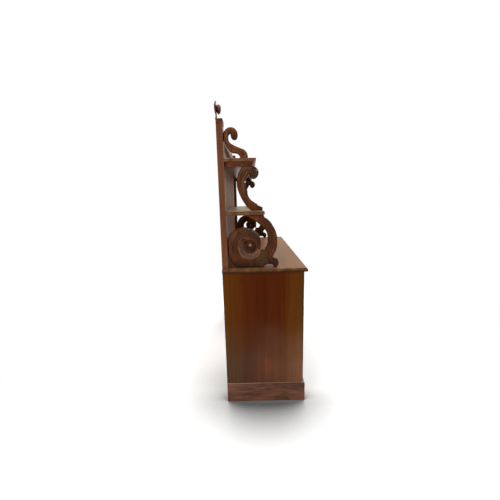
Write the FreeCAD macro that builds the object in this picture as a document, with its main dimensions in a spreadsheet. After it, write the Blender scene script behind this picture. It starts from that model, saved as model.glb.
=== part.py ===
import FreeCAD, Part
import os
import re
import Sketcher
from FreeCAD import Placement, Rotation, Units, Vector

# A mahogany chiffonier sideboard: a plinth, a carcase with a frieze drawer over a pair of
# arched-panel doors, a moulded slab, and an open gallery of two shelves at the back, carried at
# each end by three scroll brackets. Z is up, the front faces -Y, and the origin is on the floor
# under the middle of the whole outline. Depths are counted forwards from the back of the carcase.

doc = FreeCAD.newDocument("Sideboard")
sheet = doc.addObject("Spreadsheet::Sheet", "Sizes")

# Driving sizes in millimetres, each with the thing that it measures
driving_sizes = {
    "Carcase": {
        "case_width": (1212, "over the two sides"),
        "case_depth": (456, "from the back to the face of the front stiles"),
        "case_height": (690, "from the plinth to the slab"),
        "side_thickness": (20, "each side board"),
        "stile_width": (45, "front stile, seen from the front"),
        "stile_depth": (38, "front stile, seen from the end"),
        "stile_round": (8, "rounded outer corner of the front stile"),
        "stile_tongue": (6, "tongue of the front stile in the side"),
        "bottom_thickness": (20, "bottom board"),
        "back_thickness": (12, "boards of the carcase back"),
        "back_board_width": (146, "one board of the carcase back"),
        "vee_depth": (3, "vee joint between the back boards"),
        "rail_thickness": (20, "front rail and drawer rail"),
        "rail_depth": (52, "front rail and drawer rail"),
        "cupboard_shelf_thickness": (18, "shelf inside the cupboard"),
        "cupboard_shelf_set_back": (50, "shelf inside the cupboard, behind the doors"),
        "cleat_height": (26, "cleat under the shelf"),
        "cleat_width": (18, "cleat under the shelf"),
        "housing_depth": (6, "housing of the bottom board in each side"),
    },
    "Plinth": {
        "plinth_height": (117, "from the floor to the carcase"),
        "plinth_projection": (9, "beyond the carcase at front and ends"),
        "plinth_thickness": (22, "plinth boards"),
        "plinth_bevel": (6, "bevel along the top edge"),
        "block_size": (38, "corner block inside the plinth"),
    },
    "Slab": {
        "slab_thickness": (23, "moulded top board"),
        "slab_end_overhang": (15, "beyond each side"),
        "slab_front_overhang": (16, "beyond the front stiles"),
        "slab_top_round": (13, "upper round of the nosing"),
        "slab_under_round": (6, "lower round of the nosing"),
    },
    "Gallery": {
        "gallery_inset": (6, "posts and shelf ends inside the outer face of the carcase"),
        "post_width": (62, "post, seen from the front"),
        "post_depth": (33, "post, seen from the end"),
        "post_height": (750, "from the slab to the cap"),
        "cap_height": (27, "cap of the post"),
        "cap_front_overhang": (2, "cap beyond the face of the post"),
        "cap_round": (4, "rounded edge of the cap"),
        "panel_thickness": (9, "back board of the gallery"),
        "panel_set_in": (5, "back board in front of the back of the posts"),
        "panel_height": (671, "from the slab to the top rail"),
        "top_rail_height": (36, "top rail of the gallery"),
        "lower_shelf_rise": (290, "from the slab to the underside of the lower shelf"),
        "lower_shelf_thickness": (24, "lower gallery shelf"),
        "lower_shelf_depth": (241, "lower gallery shelf, from the back of the carcase"),
        "lower_shelf_round": (11, "nosing of the lower shelf"),
        "upper_shelf_rise": (569, "from the slab to the underside of the upper shelf"),
        "upper_shelf_thickness": (17, "upper gallery shelf"),
        "upper_shelf_depth": (199, "upper gallery shelf, from the back of the carcase"),
        "upper_shelf_round": (7, "nosing of the upper shelf"),
        "apron_height": (24, "apron under the upper shelf"),
        "apron_thickness": (14, "front board of the apron"),
        "apron_end_width": (44, "end board of the apron, which the bracket stands under"),
        "apron_inset": (14, "apron behind the edge of the shelf"),
        "apron_taper": (5, "lean of the apron from top to bottom"),
        "tenon_width": (34, "tenon of the post through the slab, seen from the front"),
        "tenon_depth": (12, "tenon of the post through the slab, seen from the end"),
    },
    "Brackets": {
        "bracket_thickness": (36, "all brackets"),
        "lower_reach": (285, "lower bracket in front of the post"),
        "eye_groove_width": (8, "turned groove in the eye"),
        "eye_groove_depth": (3, "turned groove in the eye"),
        "eye_boss_radius": (11, "boss in the middle of the eye"),
        "eye_boss_rise": (4, "boss in front of the face of the bracket"),
        "middle_reach": (198, "middle bracket in front of the post"),
        "top_reach": (125, "top bracket in front of the post"),
        "top_height": (153, "top bracket above the upper shelf"),
    },
    "Finials": {
        "leaf_width": (58, "carved leaf, seen from the front"),
        "leaf_height": (91, "carved leaf above the cap"),
        "leaf_thickness": (10, "carved leaf"),
        "leaf_set_back": (5, "leaf behind the back of the carcase"),
        "bud_radius": (12, "bud in front of the leaf"),
        "bud_height": (48, "bud in front of the leaf"),
        "bud_rise": (25, "bud above the cap"),
        "bud_seat": (10, "centre of the bud in front of the leaf"),
    },
    "Drawer": {
        "drawer_opening": (112, "height of the drawer opening"),
        "drawer_front_thickness": (22, "drawer front"),
        "drawer_back_gap": (24, "behind the drawer"),
        "drawer_side_thickness": (12, "drawer side"),
        "drawer_back_thickness": (10, "drawer back"),
        "drawer_bottom_thickness": (7, "drawer bottom"),
        "drawer_bottom_rise": (10, "drawer bottom above the lower edge"),
        "drawer_groove": (5, "groove for the bottom in the sides"),
        "drawer_side_gap": (1.5, "beside and above the drawer front"),
        "running_gap": (0.3, "between the drawer and its runners"),
        "runner_thickness": (20, "drawer runner"),
        "guide_height": (22, "drawer guide above the runner"),
        "kicker_thickness": (20, "drawer kicker"),
        "cock_bead": (3, "bead round the drawer front"),
        "cock_bead_proud": (2, "bead in front of the drawer front"),
        "knob_radius": (19, "turned knob"),
        "knob_reach": (26, "turned knob in front of the drawer front"),
        "knob_tenon": (6, "radius of the tenon of the knob"),
        "knob_spread": (600, "distance between the two knobs"),
    },
    "Doors": {
        "door_thickness": (22, "door frame"),
        "door_gap": (1.5, "between a door and the case"),
        "meeting_gap": (2, "between the two doors"),
        "door_stile_width": (62, "door stile"),
        "door_bottom_rail": (84, "bottom rail of the door"),
        "door_top_rail": (58, "top rail of the door at the crown of the arch"),
        "arch_rise": (60, "rise of the arch"),
        "door_panel_thickness": (8, "door panel"),
        "rebate_width": (9, "rebate behind the door frame"),
        "moulding_width": (14, "moulding round the panel"),
        "moulding_proud": (3, "moulding in front of the door frame"),
        "moulding_bevel": (7, "bevelled inner edge of the moulding"),
        "stop_thickness": (10, "door stop"),
        "stop_length": (120, "door stop"),
    },
    "Hinges": {
        "hinge_height": (64, "butt hinge"),
        "hinge_inset": (70, "from the end of the door to the hinge"),
        "leaf_plate": (1.8, "plate of the hinge leaf"),
        "leaf_plate_depth": (19, "hinge leaf behind the face of the door"),
        "knuckle_radius": (4, "knuckle of the hinge"),
        "pin_radius": (1.8, "pin of the hinge"),
        "pin_clearance": (0.05, "between the pin and the door's knuckle"),
        "knuckle_gap": (0.3, "between knuckles, and round them"),
    },
    "Lock and bolt": {
        "lock_width": (54, "lock case"),
        "lock_height": (70, "lock case"),
        "lock_thickness": (12, "lock case"),
        "lock_bolt_width": (12, "height of the lock bolt"),
        "lock_bolt_thickness": (6, "lock bolt"),
        "lock_bolt_length": (48, "lock bolt"),
        "lock_bolt_rise": (13, "lock bolt above the key"),
        "lock_throw": (12, "travel of the lock bolt"),
        "talon_depth": (1.6, "notch in the lock bolt that the key's bit turns in"),
        "lock_clearance": (0.4, "round the lock bolt and the key"),
        "keeper_length": (20, "keeper on the left door"),
        "key_backset": (26, "key behind the meeting edge of the door"),
        "key_shank": (2.6, "radius of the key's shank"),
        "key_bit_radius": (8, "reach of the key's bit"),
        "key_bit_width": (4, "thickness of the key's bit"),
        "key_bow_radius": (11, "eight-sided bow of the key"),
        "key_bow_rim": (4, "width of the bow's rim"),
        "key_bow_thickness": (3, "bow of the key"),
        "key_bow_out": (14, "centre of the bow in front of the door"),
        "escutcheon_radius": (15, "lozenge of the escutcheon, from its middle to a point"),
        "escutcheon_thickness": (1.5, "escutcheon"),
        "bolt_width": (7, "square bar of the cupboard bolt"),
        "bolt_travel": (14, "travel of the cupboard bolt"),
        "bolt_case_width": (18, "plate of the cupboard bolt"),
        "bolt_case_height": (56, "plate of the cupboard bolt"),
        "bolt_plate": (2, "plate of the cupboard bolt"),
        "bolt_inset": (34, "bolt beside the meeting edge of the door"),
        "bolt_strap": (1.6, "wall of the sleeve round the bar"),
        "bolt_clearance": (0.4, "round the bar of the cupboard bolt"),
    },
    "Cutting": {
        "overrun": (4, "how far a cutter runs past what it cuts"),
    },
}

row = 1
size_names = []
for group, entries in driving_sizes.items():
    sheet.set("A%d" % row, group)
    row += 1
    for name, (value, note) in entries.items():
        sheet.set("A%d" % row, note)
        sheet.set("B%d" % row, str(value))
        sheet.setAlias("B%d" % row, name)
        size_names.append(name)
        row += 1
doc.recompute()

# Places that follow from the driving sizes, written with their names
places = {
    "front_reach": "case_depth + knob_reach",
    "back": "(front_reach - leaf_set_back) / 2",
    "half_case": "case_width / 2",
    "side_inner": "half_case - side_thickness",
    "stile_inner": "half_case - stile_width",
    "stile_back": "case_depth - stile_depth",
    "rail_back": "case_depth - rail_depth",
    "case_top": "plinth_height + case_height",
    "bottom_top": "plinth_height + bottom_thickness",
    "drawer_top": "case_top - rail_thickness",
    "drawer_base": "drawer_top - drawer_opening",
    "door_head": "drawer_base - rail_thickness",
    "slab_top": "case_top + slab_thickness",
    "shelf_level": "(bottom_top + door_head) / 2",
    "shelf_front": "door_back - cupboard_shelf_set_back",
    "half_gallery": "half_case - gallery_inset",
    "post_inner": "half_gallery - post_width",
    "post_middle": "half_gallery - post_width / 2",
    "post_top": "slab_top + post_height",
    "cap_top": "post_top + cap_height",
    "lower_shelf_base": "slab_top + lower_shelf_rise",
    "lower_shelf_top": "lower_shelf_base + lower_shelf_thickness",
    "upper_shelf_base": "slab_top + upper_shelf_rise",
    "upper_shelf_top": "upper_shelf_base + upper_shelf_thickness",
    "apron_base": "upper_shelf_base - apron_height",
    "panel_front": "panel_set_in + panel_thickness",
    "drawer_half": "stile_inner - drawer_side_gap",
    "drawer_face": "case_depth - cock_bead_proud",
    "drawer_back_face": "drawer_face - drawer_front_thickness",
    "drawer_end": "back_thickness + drawer_back_gap",
    "drawer_floor": "drawer_base + running_gap",
    "drawer_height": "drawer_opening - running_gap - drawer_side_gap",
    "door_outer": "stile_inner - door_gap",
    "door_inner": "meeting_gap / 2",
    "door_back": "case_depth - door_thickness",
    "door_foot": "bottom_top + door_gap",
    "door_crest": "door_head - door_gap",
    "hinge_line": "stile_inner - door_gap / 2",
    "hinge_depth": "case_depth + knuckle_radius + knuckle_gap",
    "lock_level": "(door_foot + door_crest) / 2",
    "lock_bolt_level": "lock_level + lock_bolt_rise",
    "lock_bolt_depth": "door_back - lock_thickness / 2",
    "bolt_sleeve": "bolt_width / 2 + bolt_clearance + bolt_strap",
    "bolt_depth": "door_back - bolt_plate - bolt_sleeve",
    "bolt_top": "door_crest - bolt_clearance",
    "bolt_length": "bolt_case_height + bolt_travel * 2 + bolt_width + bolt_clearance",
    "key_neck": "key_bow_out - key_bow_radius + key_bow_rim / 2",
}


def link(text):
    """The expression with each place written out and each size tied to the sheet"""

    def word(found):
        name = found.group(0)
        if name in places:
            return "(" + link(places[name]) + ")"
        if name in size_names:
            return "Sizes." + name
        return name

    return re.sub(r"[a-z][a-z_]*", word, text)


def read(text):
    """The number of millimetres that an expression comes to"""
    numbers = re.sub(r"Sizes\.([a-z_]+)", lambda found: "(%r)" % float(sheet.get(found.group(1))), link(text))
    return Units.Quantity(numbers).Value


def bind(item, **values):
    """Tie properties of an object to expressions"""
    for name, text in values.items():
        item.setExpression(name, link(text))


def put(item, x="0", depth="0", z="0"):
    """Place an object's origin at x, at a depth from the back of the carcase, and at a height"""
    item.setExpression("Placement.Base.x", link(x))
    item.setExpression("Placement.Base.y", link("back - (%s)" % depth))
    item.setExpression("Placement.Base.z", link(z))


kept = []


def keep(item, label):
    """List an object as a finished sub-part"""
    item.Label = label
    kept.append(item)


def block(x_from, x_to, depth_from, depth_to, z_from, z_to):
    """A board between six planes; depths are counted forwards from the back of the carcase"""
    item = doc.addObject("Part::Box", "Board")
    bind(
        item,
        Length="(%s) - (%s)" % (x_to, x_from),
        Width="(%s) - (%s)" % (depth_to, depth_from),
        Height="(%s) - (%s)" % (z_to, z_from),
    )
    put(item, x_from, depth_to, z_from)
    return item


def turned(item, along, x, depth, z):
    """Lay an upright bar upwards, to the right or backwards from a point"""
    turns = {"z": Rotation(), "x": Rotation(Vector(0, 1, 0), 90), "y": Rotation(Vector(1, 0, 0), -90)}
    item.Placement = Placement(Vector(0, 0, 0), turns[along])
    put(item, x, depth, z)
    return item


def rod(radius, length, x, depth, z, along="z"):
    """A round bar"""
    item = doc.addObject("Part::Cylinder", "Rod")
    bind(item, Radius=radius, Height=length)
    return turned(item, along, x, depth, z)


def prism(sides, radius, length, x, depth, z, along="z"):
    """A bar with flat sides, measured from its middle line to a corner"""
    item = doc.addObject("Part::Prism", "Prism")
    item.Polygon = sides
    bind(item, Circumradius=radius, Height=length)
    return turned(item, along, x, depth, z)


def square_bar(half_width, x, depth, z_from, z_to):
    """An upright square bar round a middle line"""
    return block(
        "%s - (%s)" % (x, half_width),
        "%s + %s" % (x, half_width),
        "%s - (%s)" % (depth, half_width),
        "%s + %s" % (depth, half_width),
        z_from,
        z_to,
    )


def joined(*items):
    """Several solids as one"""
    item = doc.addObject("Part::MultiFuse", "Joined")
    item.Shapes = list(items)
    return item


def grouped(*items):
    """Several separate solids in one sub-part"""
    item = doc.addObject("Part::Compound", "Group")
    item.Links = list(items)
    return item


def cut(base, *tools):
    """A solid with other solids taken out of it"""
    item = doc.addObject("Part::Cut", "Cut")
    item.Base = base
    item.Tool = tools[0] if len(tools) == 1 else joined(*tools)
    return item


def mirrored_span(side, inner, outer):
    """The span of a piece on the right, or its mirror image on the left"""
    if side == "right":
        return inner, outer
    return "-(%s)" % outer, "-(%s)" % inner


def mirrored_place(side, x):
    return x if side == "right" else "-(%s)" % x


def plane_of(body, role):
    return next(item for item in body.Origin.OriginFeatures if item.Role == role)


def sketch_on(body, role, name):
    """A sketch on one of the body's own origin planes"""
    sketch = body.newObject("Sketcher::SketchObject", name)
    sketch.AttachmentSupport = [(plane_of(body, role), "")]
    sketch.MapMode = "FlatFace"
    return sketch


def draw_outline(sketch, corners):
    """A closed outline of straight lines, each corner held by two expressions"""
    first = sketch.GeometryCount
    count = len(corners)
    spots = [Vector(read(across), read(up), 0) for across, up in corners]
    for index in range(count):
        sketch.addGeometry(Part.LineSegment(spots[index], spots[(index + 1) % count]))
    for index in range(count):
        following = first + (index + 1) % count
        sketch.addConstraint(Sketcher.Constraint("Coincident", first + index, 2, following, 1))
    for index, (across, up) in enumerate(corners):
        for kind, text, value in (("DistanceX", across, spots[index].x), ("DistanceY", up, spots[index].y)):
            if text == "0":
                axis = -2 if kind == "DistanceX" else -1
                sketch.addConstraint(Sketcher.Constraint("PointOnObject", first + index, 1, axis))
            else:
                number = sketch.addConstraint(Sketcher.Constraint(kind, -1, 1, first + index, 1, value))
                sketch.setExpression("Constraints[%d]" % number, link(text))


def padded_body(role, corners, length):
    """A body padded from one outline of straight lines"""
    body = doc.addObject("PartDesign::Body", "Body")
    sketch = sketch_on(body, role, "Outline")
    draw_outline(sketch, corners)
    pad = body.newObject("PartDesign::Pad", "Pad")
    pad.Profile = sketch
    bind(pad, Length=length)
    doc.recompute()
    return body


def edge_names(shape, test):
    """The names of the edges whose middle point passes a test"""
    names = []
    for number, edge in enumerate(shape.Edges, 1):
        middle = edge.valueAt((edge.FirstParameter + edge.LastParameter) / 2)
        if test(middle, edge):
            names.append("Edge%d" % number)
    return names


def dress(body, kind, size, test):
    """A fillet or a chamfer on the edges of the body that pass a test"""
    base = body.Tip
    feature = body.newObject("PartDesign::" + kind, kind)
    feature.Base = (base, edge_names(base.Shape, test))
    bind(feature, **{"Radius" if kind == "Fillet" else "Size": size})
    doc.recompute()


near_enough = 0.001


def close(value, target):
    return abs(value - target) < near_enough


def solid_piece(label, shape, x="0", depth="0", z="0"):
    """A sub-part whose form is worked out below from the sizes in the sheet"""
    item = doc.addObject("Part::Feature", "Form")
    item.Shape = shape
    put(item, x, depth, z)
    keep(item, label)


def outline_wire(start, rows, spot):
    """A closed outline; a row of two shares is a straight edge, one of four an arc through a point"""
    edges = []
    here = spot(*start)
    for shares in rows:
        there = spot(*shares[-2:])
        if len(shares) == 2:
            edges.append(Part.LineSegment(here, there).toShape())
        else:
            edges.append(Part.Arc(here, spot(*shares[:2]), there).toShape())
        here = there
    return Part.Wire(edges)


hinge_levels = ("door_foot + hinge_inset", "door_crest - hinge_inset - hinge_height")

# Carcase

for side in ("left", "right"):
    x_from, x_to = mirrored_span(side, "side_inner", "half_case")
    tongue_from, tongue_to = mirrored_span(
        side, "side_inner + side_thickness / 3", "side_inner + side_thickness * 2 / 3"
    )
    rebate_from, rebate_to = mirrored_span(side, "side_inner - overrun", "side_inner + side_thickness / 2")
    house_from, house_to = mirrored_span(side, "side_inner - overrun", "side_inner + housing_depth")
    board = block(x_from, x_to, "0", "stile_back", "plinth_height", "case_top")
    tongue_groove = block(
        tongue_from,
        tongue_to,
        "stile_back - stile_tongue",
        "stile_back + overrun",
        "plinth_height - overrun",
        "case_top + overrun",
    )
    rebate = block(
        rebate_from, rebate_to, "-overrun", "back_thickness", "plinth_height - overrun", "case_top + overrun"
    )
    housing = block(
        house_from,
        house_to,
        "back_thickness - overrun",
        "stile_back + overrun",
        "plinth_height - overrun",
        "bottom_top",
    )
    keep(cut(board, tongue_groove, rebate, housing), "side_" + side)

    # The stile closes the front of the side: its outer corner is rounded, and a tongue holds it
    sign = "" if side == "right" else "-"
    stile = padded_body(
        "XY_Plane",
        [
            (sign + "stile_inner", "0"),
            (sign + "half_case", "0"),
            (sign + "half_case", "stile_depth"),
            (sign + "(half_case - side_thickness / 3)", "stile_depth"),
            (sign + "(half_case - side_thickness / 3)", "stile_depth + stile_tongue"),
            (sign + "(half_case - side_thickness * 2 / 3)", "stile_depth + stile_tongue"),
            (sign + "(half_case - side_thickness * 2 / 3)", "stile_depth"),
            (sign + "stile_inner", "stile_depth"),
        ],
        "case_height",
    )
    put(stile, "0", "case_depth", "plinth_height")
    outer = read(sign + "half_case")
    dress(stile, "Fillet", "stile_round", lambda middle, edge: close(middle.x, outer) and close(middle.y, 0))
    plate_from, plate_to = mirrored_span(
        side, "stile_inner - overrun", "hinge_line + knuckle_gap / 2 + leaf_plate"
    )
    recesses = [
        block(
            plate_from,
            plate_to,
            "case_depth - leaf_plate_depth",
            "case_depth + overrun",
            level,
            "%s + hinge_height" % level,
        )
        for level in hinge_levels
    ]
    keep(cut(stile, *recesses), "front_stile_" + side)

bottom = padded_body(
    "XY_Plane",
    [
        ("-(side_inner + housing_depth)", "0"),
        ("-(side_inner + housing_depth)", "-(stile_back - back_thickness)"),
        ("-stile_inner", "-(stile_back - back_thickness)"),
        ("-stile_inner", "-(case_depth - back_thickness)"),
        ("stile_inner", "-(case_depth - back_thickness)"),
        ("stile_inner", "-(stile_back - back_thickness)"),
        ("side_inner + housing_depth", "-(stile_back - back_thickness)"),
        ("side_inner + housing_depth", "0"),
    ],
    "bottom_thickness",
)
put(bottom, "0", "back_thickness", "plinth_height")
keep(bottom, "bottom_board")

# The back is made of upright boards, and a vee is worked where each meets the next
back_panel = block(
    "-(side_inner + side_thickness / 2)",
    "side_inner + side_thickness / 2",
    "0",
    "back_thickness",
    "plinth_height",
    "case_top",
)
vees = []
board_count = max(2, int(round(read("side_inner * 2 / back_board_width"))))
for number in range(1, board_count):
    vee_x = "side_inner * 2 * %d / %d - side_inner" % (number, board_count)
    vees.append(prism(4, "vee_depth", "case_height + overrun * 2", vee_x, "0", "plinth_height - overrun"))
keep(cut(back_panel, *vees), "carcase_back")

for label, top in (("top_front_rail", "case_top"), ("drawer_rail", "drawer_base")):
    rail = block("-stile_inner", "stile_inner", "rail_back", "case_depth", "%s - rail_thickness" % top, top)
    if label == "drawer_rail":
        # The mortise that the cupboard bolt of the left door slides up into
        mortise = square_bar(
            "bolt_width / 2 + bolt_clearance",
            "-(door_inner + bolt_inset)",
            "bolt_depth",
            "door_head - overrun",
            "door_head + bolt_travel + overrun",
        )
        rail = cut(rail, mortise)
    keep(rail, label)

shelf = block(
    "-side_inner",
    "side_inner",
    "back_thickness",
    "shelf_front",
    "shelf_level",
    "shelf_level + cupboard_shelf_thickness",
)
keep(shelf, "cupboard_shelf")

cleats = []
runners = []
kickers = []
for side in ("left", "right"):
    cleat_from, cleat_to = mirrored_span(side, "side_inner - cleat_width", "side_inner")
    cleats.append(
        block(
            cleat_from,
            cleat_to,
            "back_thickness",
            "shelf_front",
            "shelf_level - cleat_height",
            "shelf_level",
        )
    )
    run_from, run_to = mirrored_span(side, "stile_inner - drawer_side_thickness * 2", "side_inner")
    guide_from, guide_to = mirrored_span(side, "stile_inner", "side_inner")
    runner = block(
        run_from, run_to, "back_thickness", "rail_back", "drawer_base - runner_thickness", "drawer_base"
    )
    guide = block(
        guide_from,
        guide_to,
        "back_thickness",
        "stile_back",
        "drawer_base - running_gap",
        "drawer_base + guide_height",
    )
    runners.append(joined(runner, guide))
    kickers.append(
        block(run_from, run_to, "back_thickness", "rail_back", "case_top - kicker_thickness", "case_top")
    )
keep(grouped(*cleats), "shelf_cleats")
keep(grouped(*runners), "drawer_runners")
keep(grouped(*kickers), "drawer_kickers")

stop = block(
    "-stop_length / 2 + lock_width",
    "stop_length / 2 + lock_width",
    "door_back - stop_thickness - running_gap",
    "door_back - running_gap",
    "door_head - stop_thickness",
    "door_head",
)
keep(stop, "door_stop")

# Plinth: mitred front and ends with a bevelled upper edge, a back board and four corner blocks

plinth_front_depth = "case_depth + plinth_projection"
plinth_half = "half_case + plinth_projection"
front = padded_body(
    "XY_Plane",
    [
        ("-(%s)" % plinth_half, "0"),
        (plinth_half, "0"),
        ("%s - plinth_thickness" % plinth_half, "plinth_thickness"),
        ("-(%s - plinth_thickness)" % plinth_half, "plinth_thickness"),
    ],
    "plinth_height",
)
put(front, "0", plinth_front_depth, "0")
keep(front, "plinth_front")
dress(
    front,
    "Chamfer",
    "plinth_bevel",
    lambda middle, edge: close(middle.y, 0) and close(middle.z, read("plinth_height")),
)

ends = []
for side in ("left", "right"):
    sign = "" if side == "right" else "-"
    end = padded_body(
        "XY_Plane",
        [
            (sign + "(%s)" % plinth_half, "0"),
            (sign + "(%s)" % plinth_half, plinth_front_depth),
            (sign + "(%s - plinth_thickness)" % plinth_half, plinth_front_depth),
            (sign + "(%s - plinth_thickness)" % plinth_half, "plinth_thickness"),
        ],
        "plinth_height",
    )
    put(end, "0", plinth_front_depth, "0")
    outer = read(sign + "(%s)" % plinth_half)
    dress(
        end,
        "Chamfer",
        "plinth_bevel",
        lambda middle, edge: close(middle.x, outer) and close(middle.z, read("plinth_height")),
    )
    ends.append(end)
keep(grouped(*ends), "plinth_ends")

back_rail = block(
    "-(%s - plinth_thickness)" % plinth_half,
    "%s - plinth_thickness" % plinth_half,
    "0",
    "plinth_thickness",
    "0",
    "plinth_height",
)
keep(back_rail, "plinth_back")

blocks = []
frame_inner = "%s - plinth_thickness" % plinth_half
frame_front = "%s - plinth_thickness" % plinth_front_depth
for side in ("left", "right"):
    block_from, block_to = mirrored_span(side, "%s - block_size" % frame_inner, frame_inner)
    for depth_from, depth_to in (
        ("plinth_thickness", "plinth_thickness + block_size"),
        ("%s - block_size" % frame_front, frame_front),
    ):
        blocks.append(
            block(block_from, block_to, depth_from, depth_to, "plinth_bevel", "plinth_height")
        )
keep(grouped(*blocks), "plinth_blocks")

# Slab: one board with a thumb moulding along its front and ends

slab_half = "half_case + slab_end_overhang"
slab_depth = "case_depth + slab_front_overhang"
slab = padded_body(
    "XY_Plane",
    [
        ("-(%s)" % slab_half, "0"),
        ("-(%s)" % slab_half, "-(%s)" % slab_depth),
        (slab_half, "-(%s)" % slab_depth),
        (slab_half, "0"),
    ],
    "slab_thickness",
)
put(slab, "0", "0", "case_top")
keep(slab, "top_board")


def nosing_test(level, half_width, depth):
    """Edges of a shelf along its front and ends at one level"""
    height, half, front_line = read(level), read(half_width), -read(depth)

    def test(middle, edge):
        on_edge = close(middle.y, front_line) or close(abs(middle.x), half)
        return close(middle.z, height) and on_edge

    return test


dress(slab, "Fillet", "slab_top_round", nosing_test("slab_thickness", slab_half, slab_depth))
dress(slab, "Fillet", "slab_under_round", nosing_test("0", slab_half, slab_depth))
mortise_sketch = sketch_on(slab, "XY_Plane", "Mortises")
for side in ("left", "right"):
    x_from, x_to = mirrored_span(side, "post_middle - tenon_width / 2", "post_middle + tenon_width / 2")
    front_line, back_line = "-(post_depth + tenon_depth) / 2", "-(post_depth - tenon_depth) / 2"
    draw_outline(
        mortise_sketch,
        [(x_from, front_line), (x_to, front_line), (x_to, back_line), (x_from, back_line)],
    )
mortises = slab.newObject("PartDesign::Pocket", "Mortises")
mortises.Profile = mortise_sketch
mortises.Type = "ThroughAll"
mortises.Midplane = True
doc.recompute()

# Gallery: posts, caps, back board, top rail and the two shelves

for side in ("left", "right"):
    x_from, x_to = mirrored_span(side, "post_inner", "half_gallery")
    post = block(x_from, x_to, "0", "post_depth", "slab_top", "post_top")
    x_from, x_to = mirrored_span(side, "post_middle - tenon_width / 2", "post_middle + tenon_width / 2")
    tenon = block(
        x_from,
        x_to,
        "(post_depth - tenon_depth) / 2",
        "(post_depth + tenon_depth) / 2",
        "case_top",
        "slab_top",
    )
    keep(joined(post, tenon), "gallery_post_" + side)

caps = []
for side in ("left", "right"):
    x_from, x_to = mirrored_span(side, "post_inner", "half_gallery")
    cap = block(x_from, x_to, "0", "post_depth + cap_front_overhang", "post_top", "cap_top")
    eased = doc.addObject("Part::Fillet", "Eased")
    eased.Base = cap
    doc.recompute()
    front_line = read("back - post_depth - cap_front_overhang")
    width, radius = read("post_width"), read("cap_round")
    rims = edge_names(
        cap.Shape, lambda middle, edge: close(middle.y, front_line) and close(edge.Length, width)
    )
    eased.Edges = [(int(name[4:]), radius, radius) for name in rims]
    caps.append(eased)
keep(grouped(*caps), "post_caps")

keep(
    block("-post_inner", "post_inner", "panel_set_in", "panel_front", "slab_top", "slab_top + panel_height"),
    "gallery_back_board",
)
keep(
    block(
        "-post_inner",
        "post_inner",
        "0",
        "post_depth",
        "slab_top + panel_height",
        "slab_top + panel_height + top_rail_height",
    ),
    "gallery_top_rail",
)


def gallery_shelf(label, depth, thickness, nosing, level):
    """A shelf notched round the posts, with rounded front and ends"""
    body = padded_body(
        "XY_Plane",
        [
            ("-post_inner", "-panel_front"),
            ("-post_inner", "-post_depth"),
            ("-half_gallery", "-post_depth"),
            ("-half_gallery", "-(%s)" % depth),
            ("half_gallery", "-(%s)" % depth),
            ("half_gallery", "-post_depth"),
            ("post_inner", "-post_depth"),
            ("post_inner", "-panel_front"),
        ],
        thickness,
    )
    put(body, "0", "0", level)
    dress(body, "Fillet", nosing, nosing_test(thickness, "half_gallery", depth))
    dress(body, "Fillet", nosing, nosing_test("0", "half_gallery", depth))
    keep(body, label)


for level in ("lower", "upper"):
    gallery_shelf(
        "gallery_%s_shelf" % level,
        "%s_shelf_depth" % level,
        "%s_shelf_thickness" % level,
        "%s_shelf_round" % level,
        "%s_shelf_base" % level,
    )


def apron_ring(lean, level):
    """The plan of the apron: a front board and two broad end boards, leaning in by an amount"""
    outer = read("half_gallery - apron_inset") - lean
    inner = read("half_gallery - apron_inset - apron_end_width")
    face = -read("upper_shelf_depth - apron_inset") + lean
    hollow = -read("upper_shelf_depth - apron_inset - apron_thickness - apron_taper")
    rear = -read("post_depth")
    corners = [
        (-outer, rear),
        (-outer, face),
        (outer, face),
        (outer, rear),
        (inner, rear),
        (inner, hollow),
        (-inner, hollow),
        (-inner, rear),
    ]
    points = [Vector(x, y, level) for x, y in corners]
    return Part.makePolygon(points + points[:1])


apron = Part.makeLoft([apron_ring(read("apron_taper"), 0), apron_ring(0, read("apron_height"))], True, True)
solid_piece("upper_shelf_apron", apron, "0", "0", "apron_base")

# Scroll brackets. Each outline is given in shares of the bracket's reach in front of the post
# and of its height. The lower bracket is a great volute pierced round its eye, with a C-scroll
# that rises in front of it to the lower shelf.

lower_outline_shares = [
    (0.698, 0.0),
    (0.740, 0.045, 0.818, 0.055),
    (0.865, 0.048, 0.900, 0.0),
    (0.935, 0.0),
    (0.990, 0.075, 0.898, 0.179),
    (0.874, 0.207),
    (0.942, 0.334, 0.965, 0.524),
    (0.948, 0.655, 0.874, 0.811),
    (0.803, 0.903, 0.705, 0.965),
    (0.705, 1.0),
    (0.328, 1.0),
    (0.551, 0.886, 0.698, 0.760),
    (0.770, 0.648, 0.780, 0.534),
    (0.773, 0.431, 0.723, 0.348),
    (0.628, 0.345),
    (0.647, 0.477, 0.621, 0.607),
    (0.498, 0.724, 0.312, 0.772),
    (0.095, 0.690, 0.0, 0.500),
    (0.0, 0.362),
    (0.048, 0.155, 0.165, 0.0),
]
lower_start_share = (0.165, 0.0)
slot_start_share = (0.361, 0.569)
slot_outline_shares = [
    (0.228, 0.470, 0.250, 0.336),
    (0.312, 0.221, 0.418, 0.190),
    (0.556, 0.231, 0.621, 0.331),
    (0.579, 0.366),
    (0.446, 0.269, 0.310, 0.390),
    (0.300, 0.490, 0.361, 0.569),
]
eye_centre_shares = (0.446, 0.410)
eye_ring_share = 0.110

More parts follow.
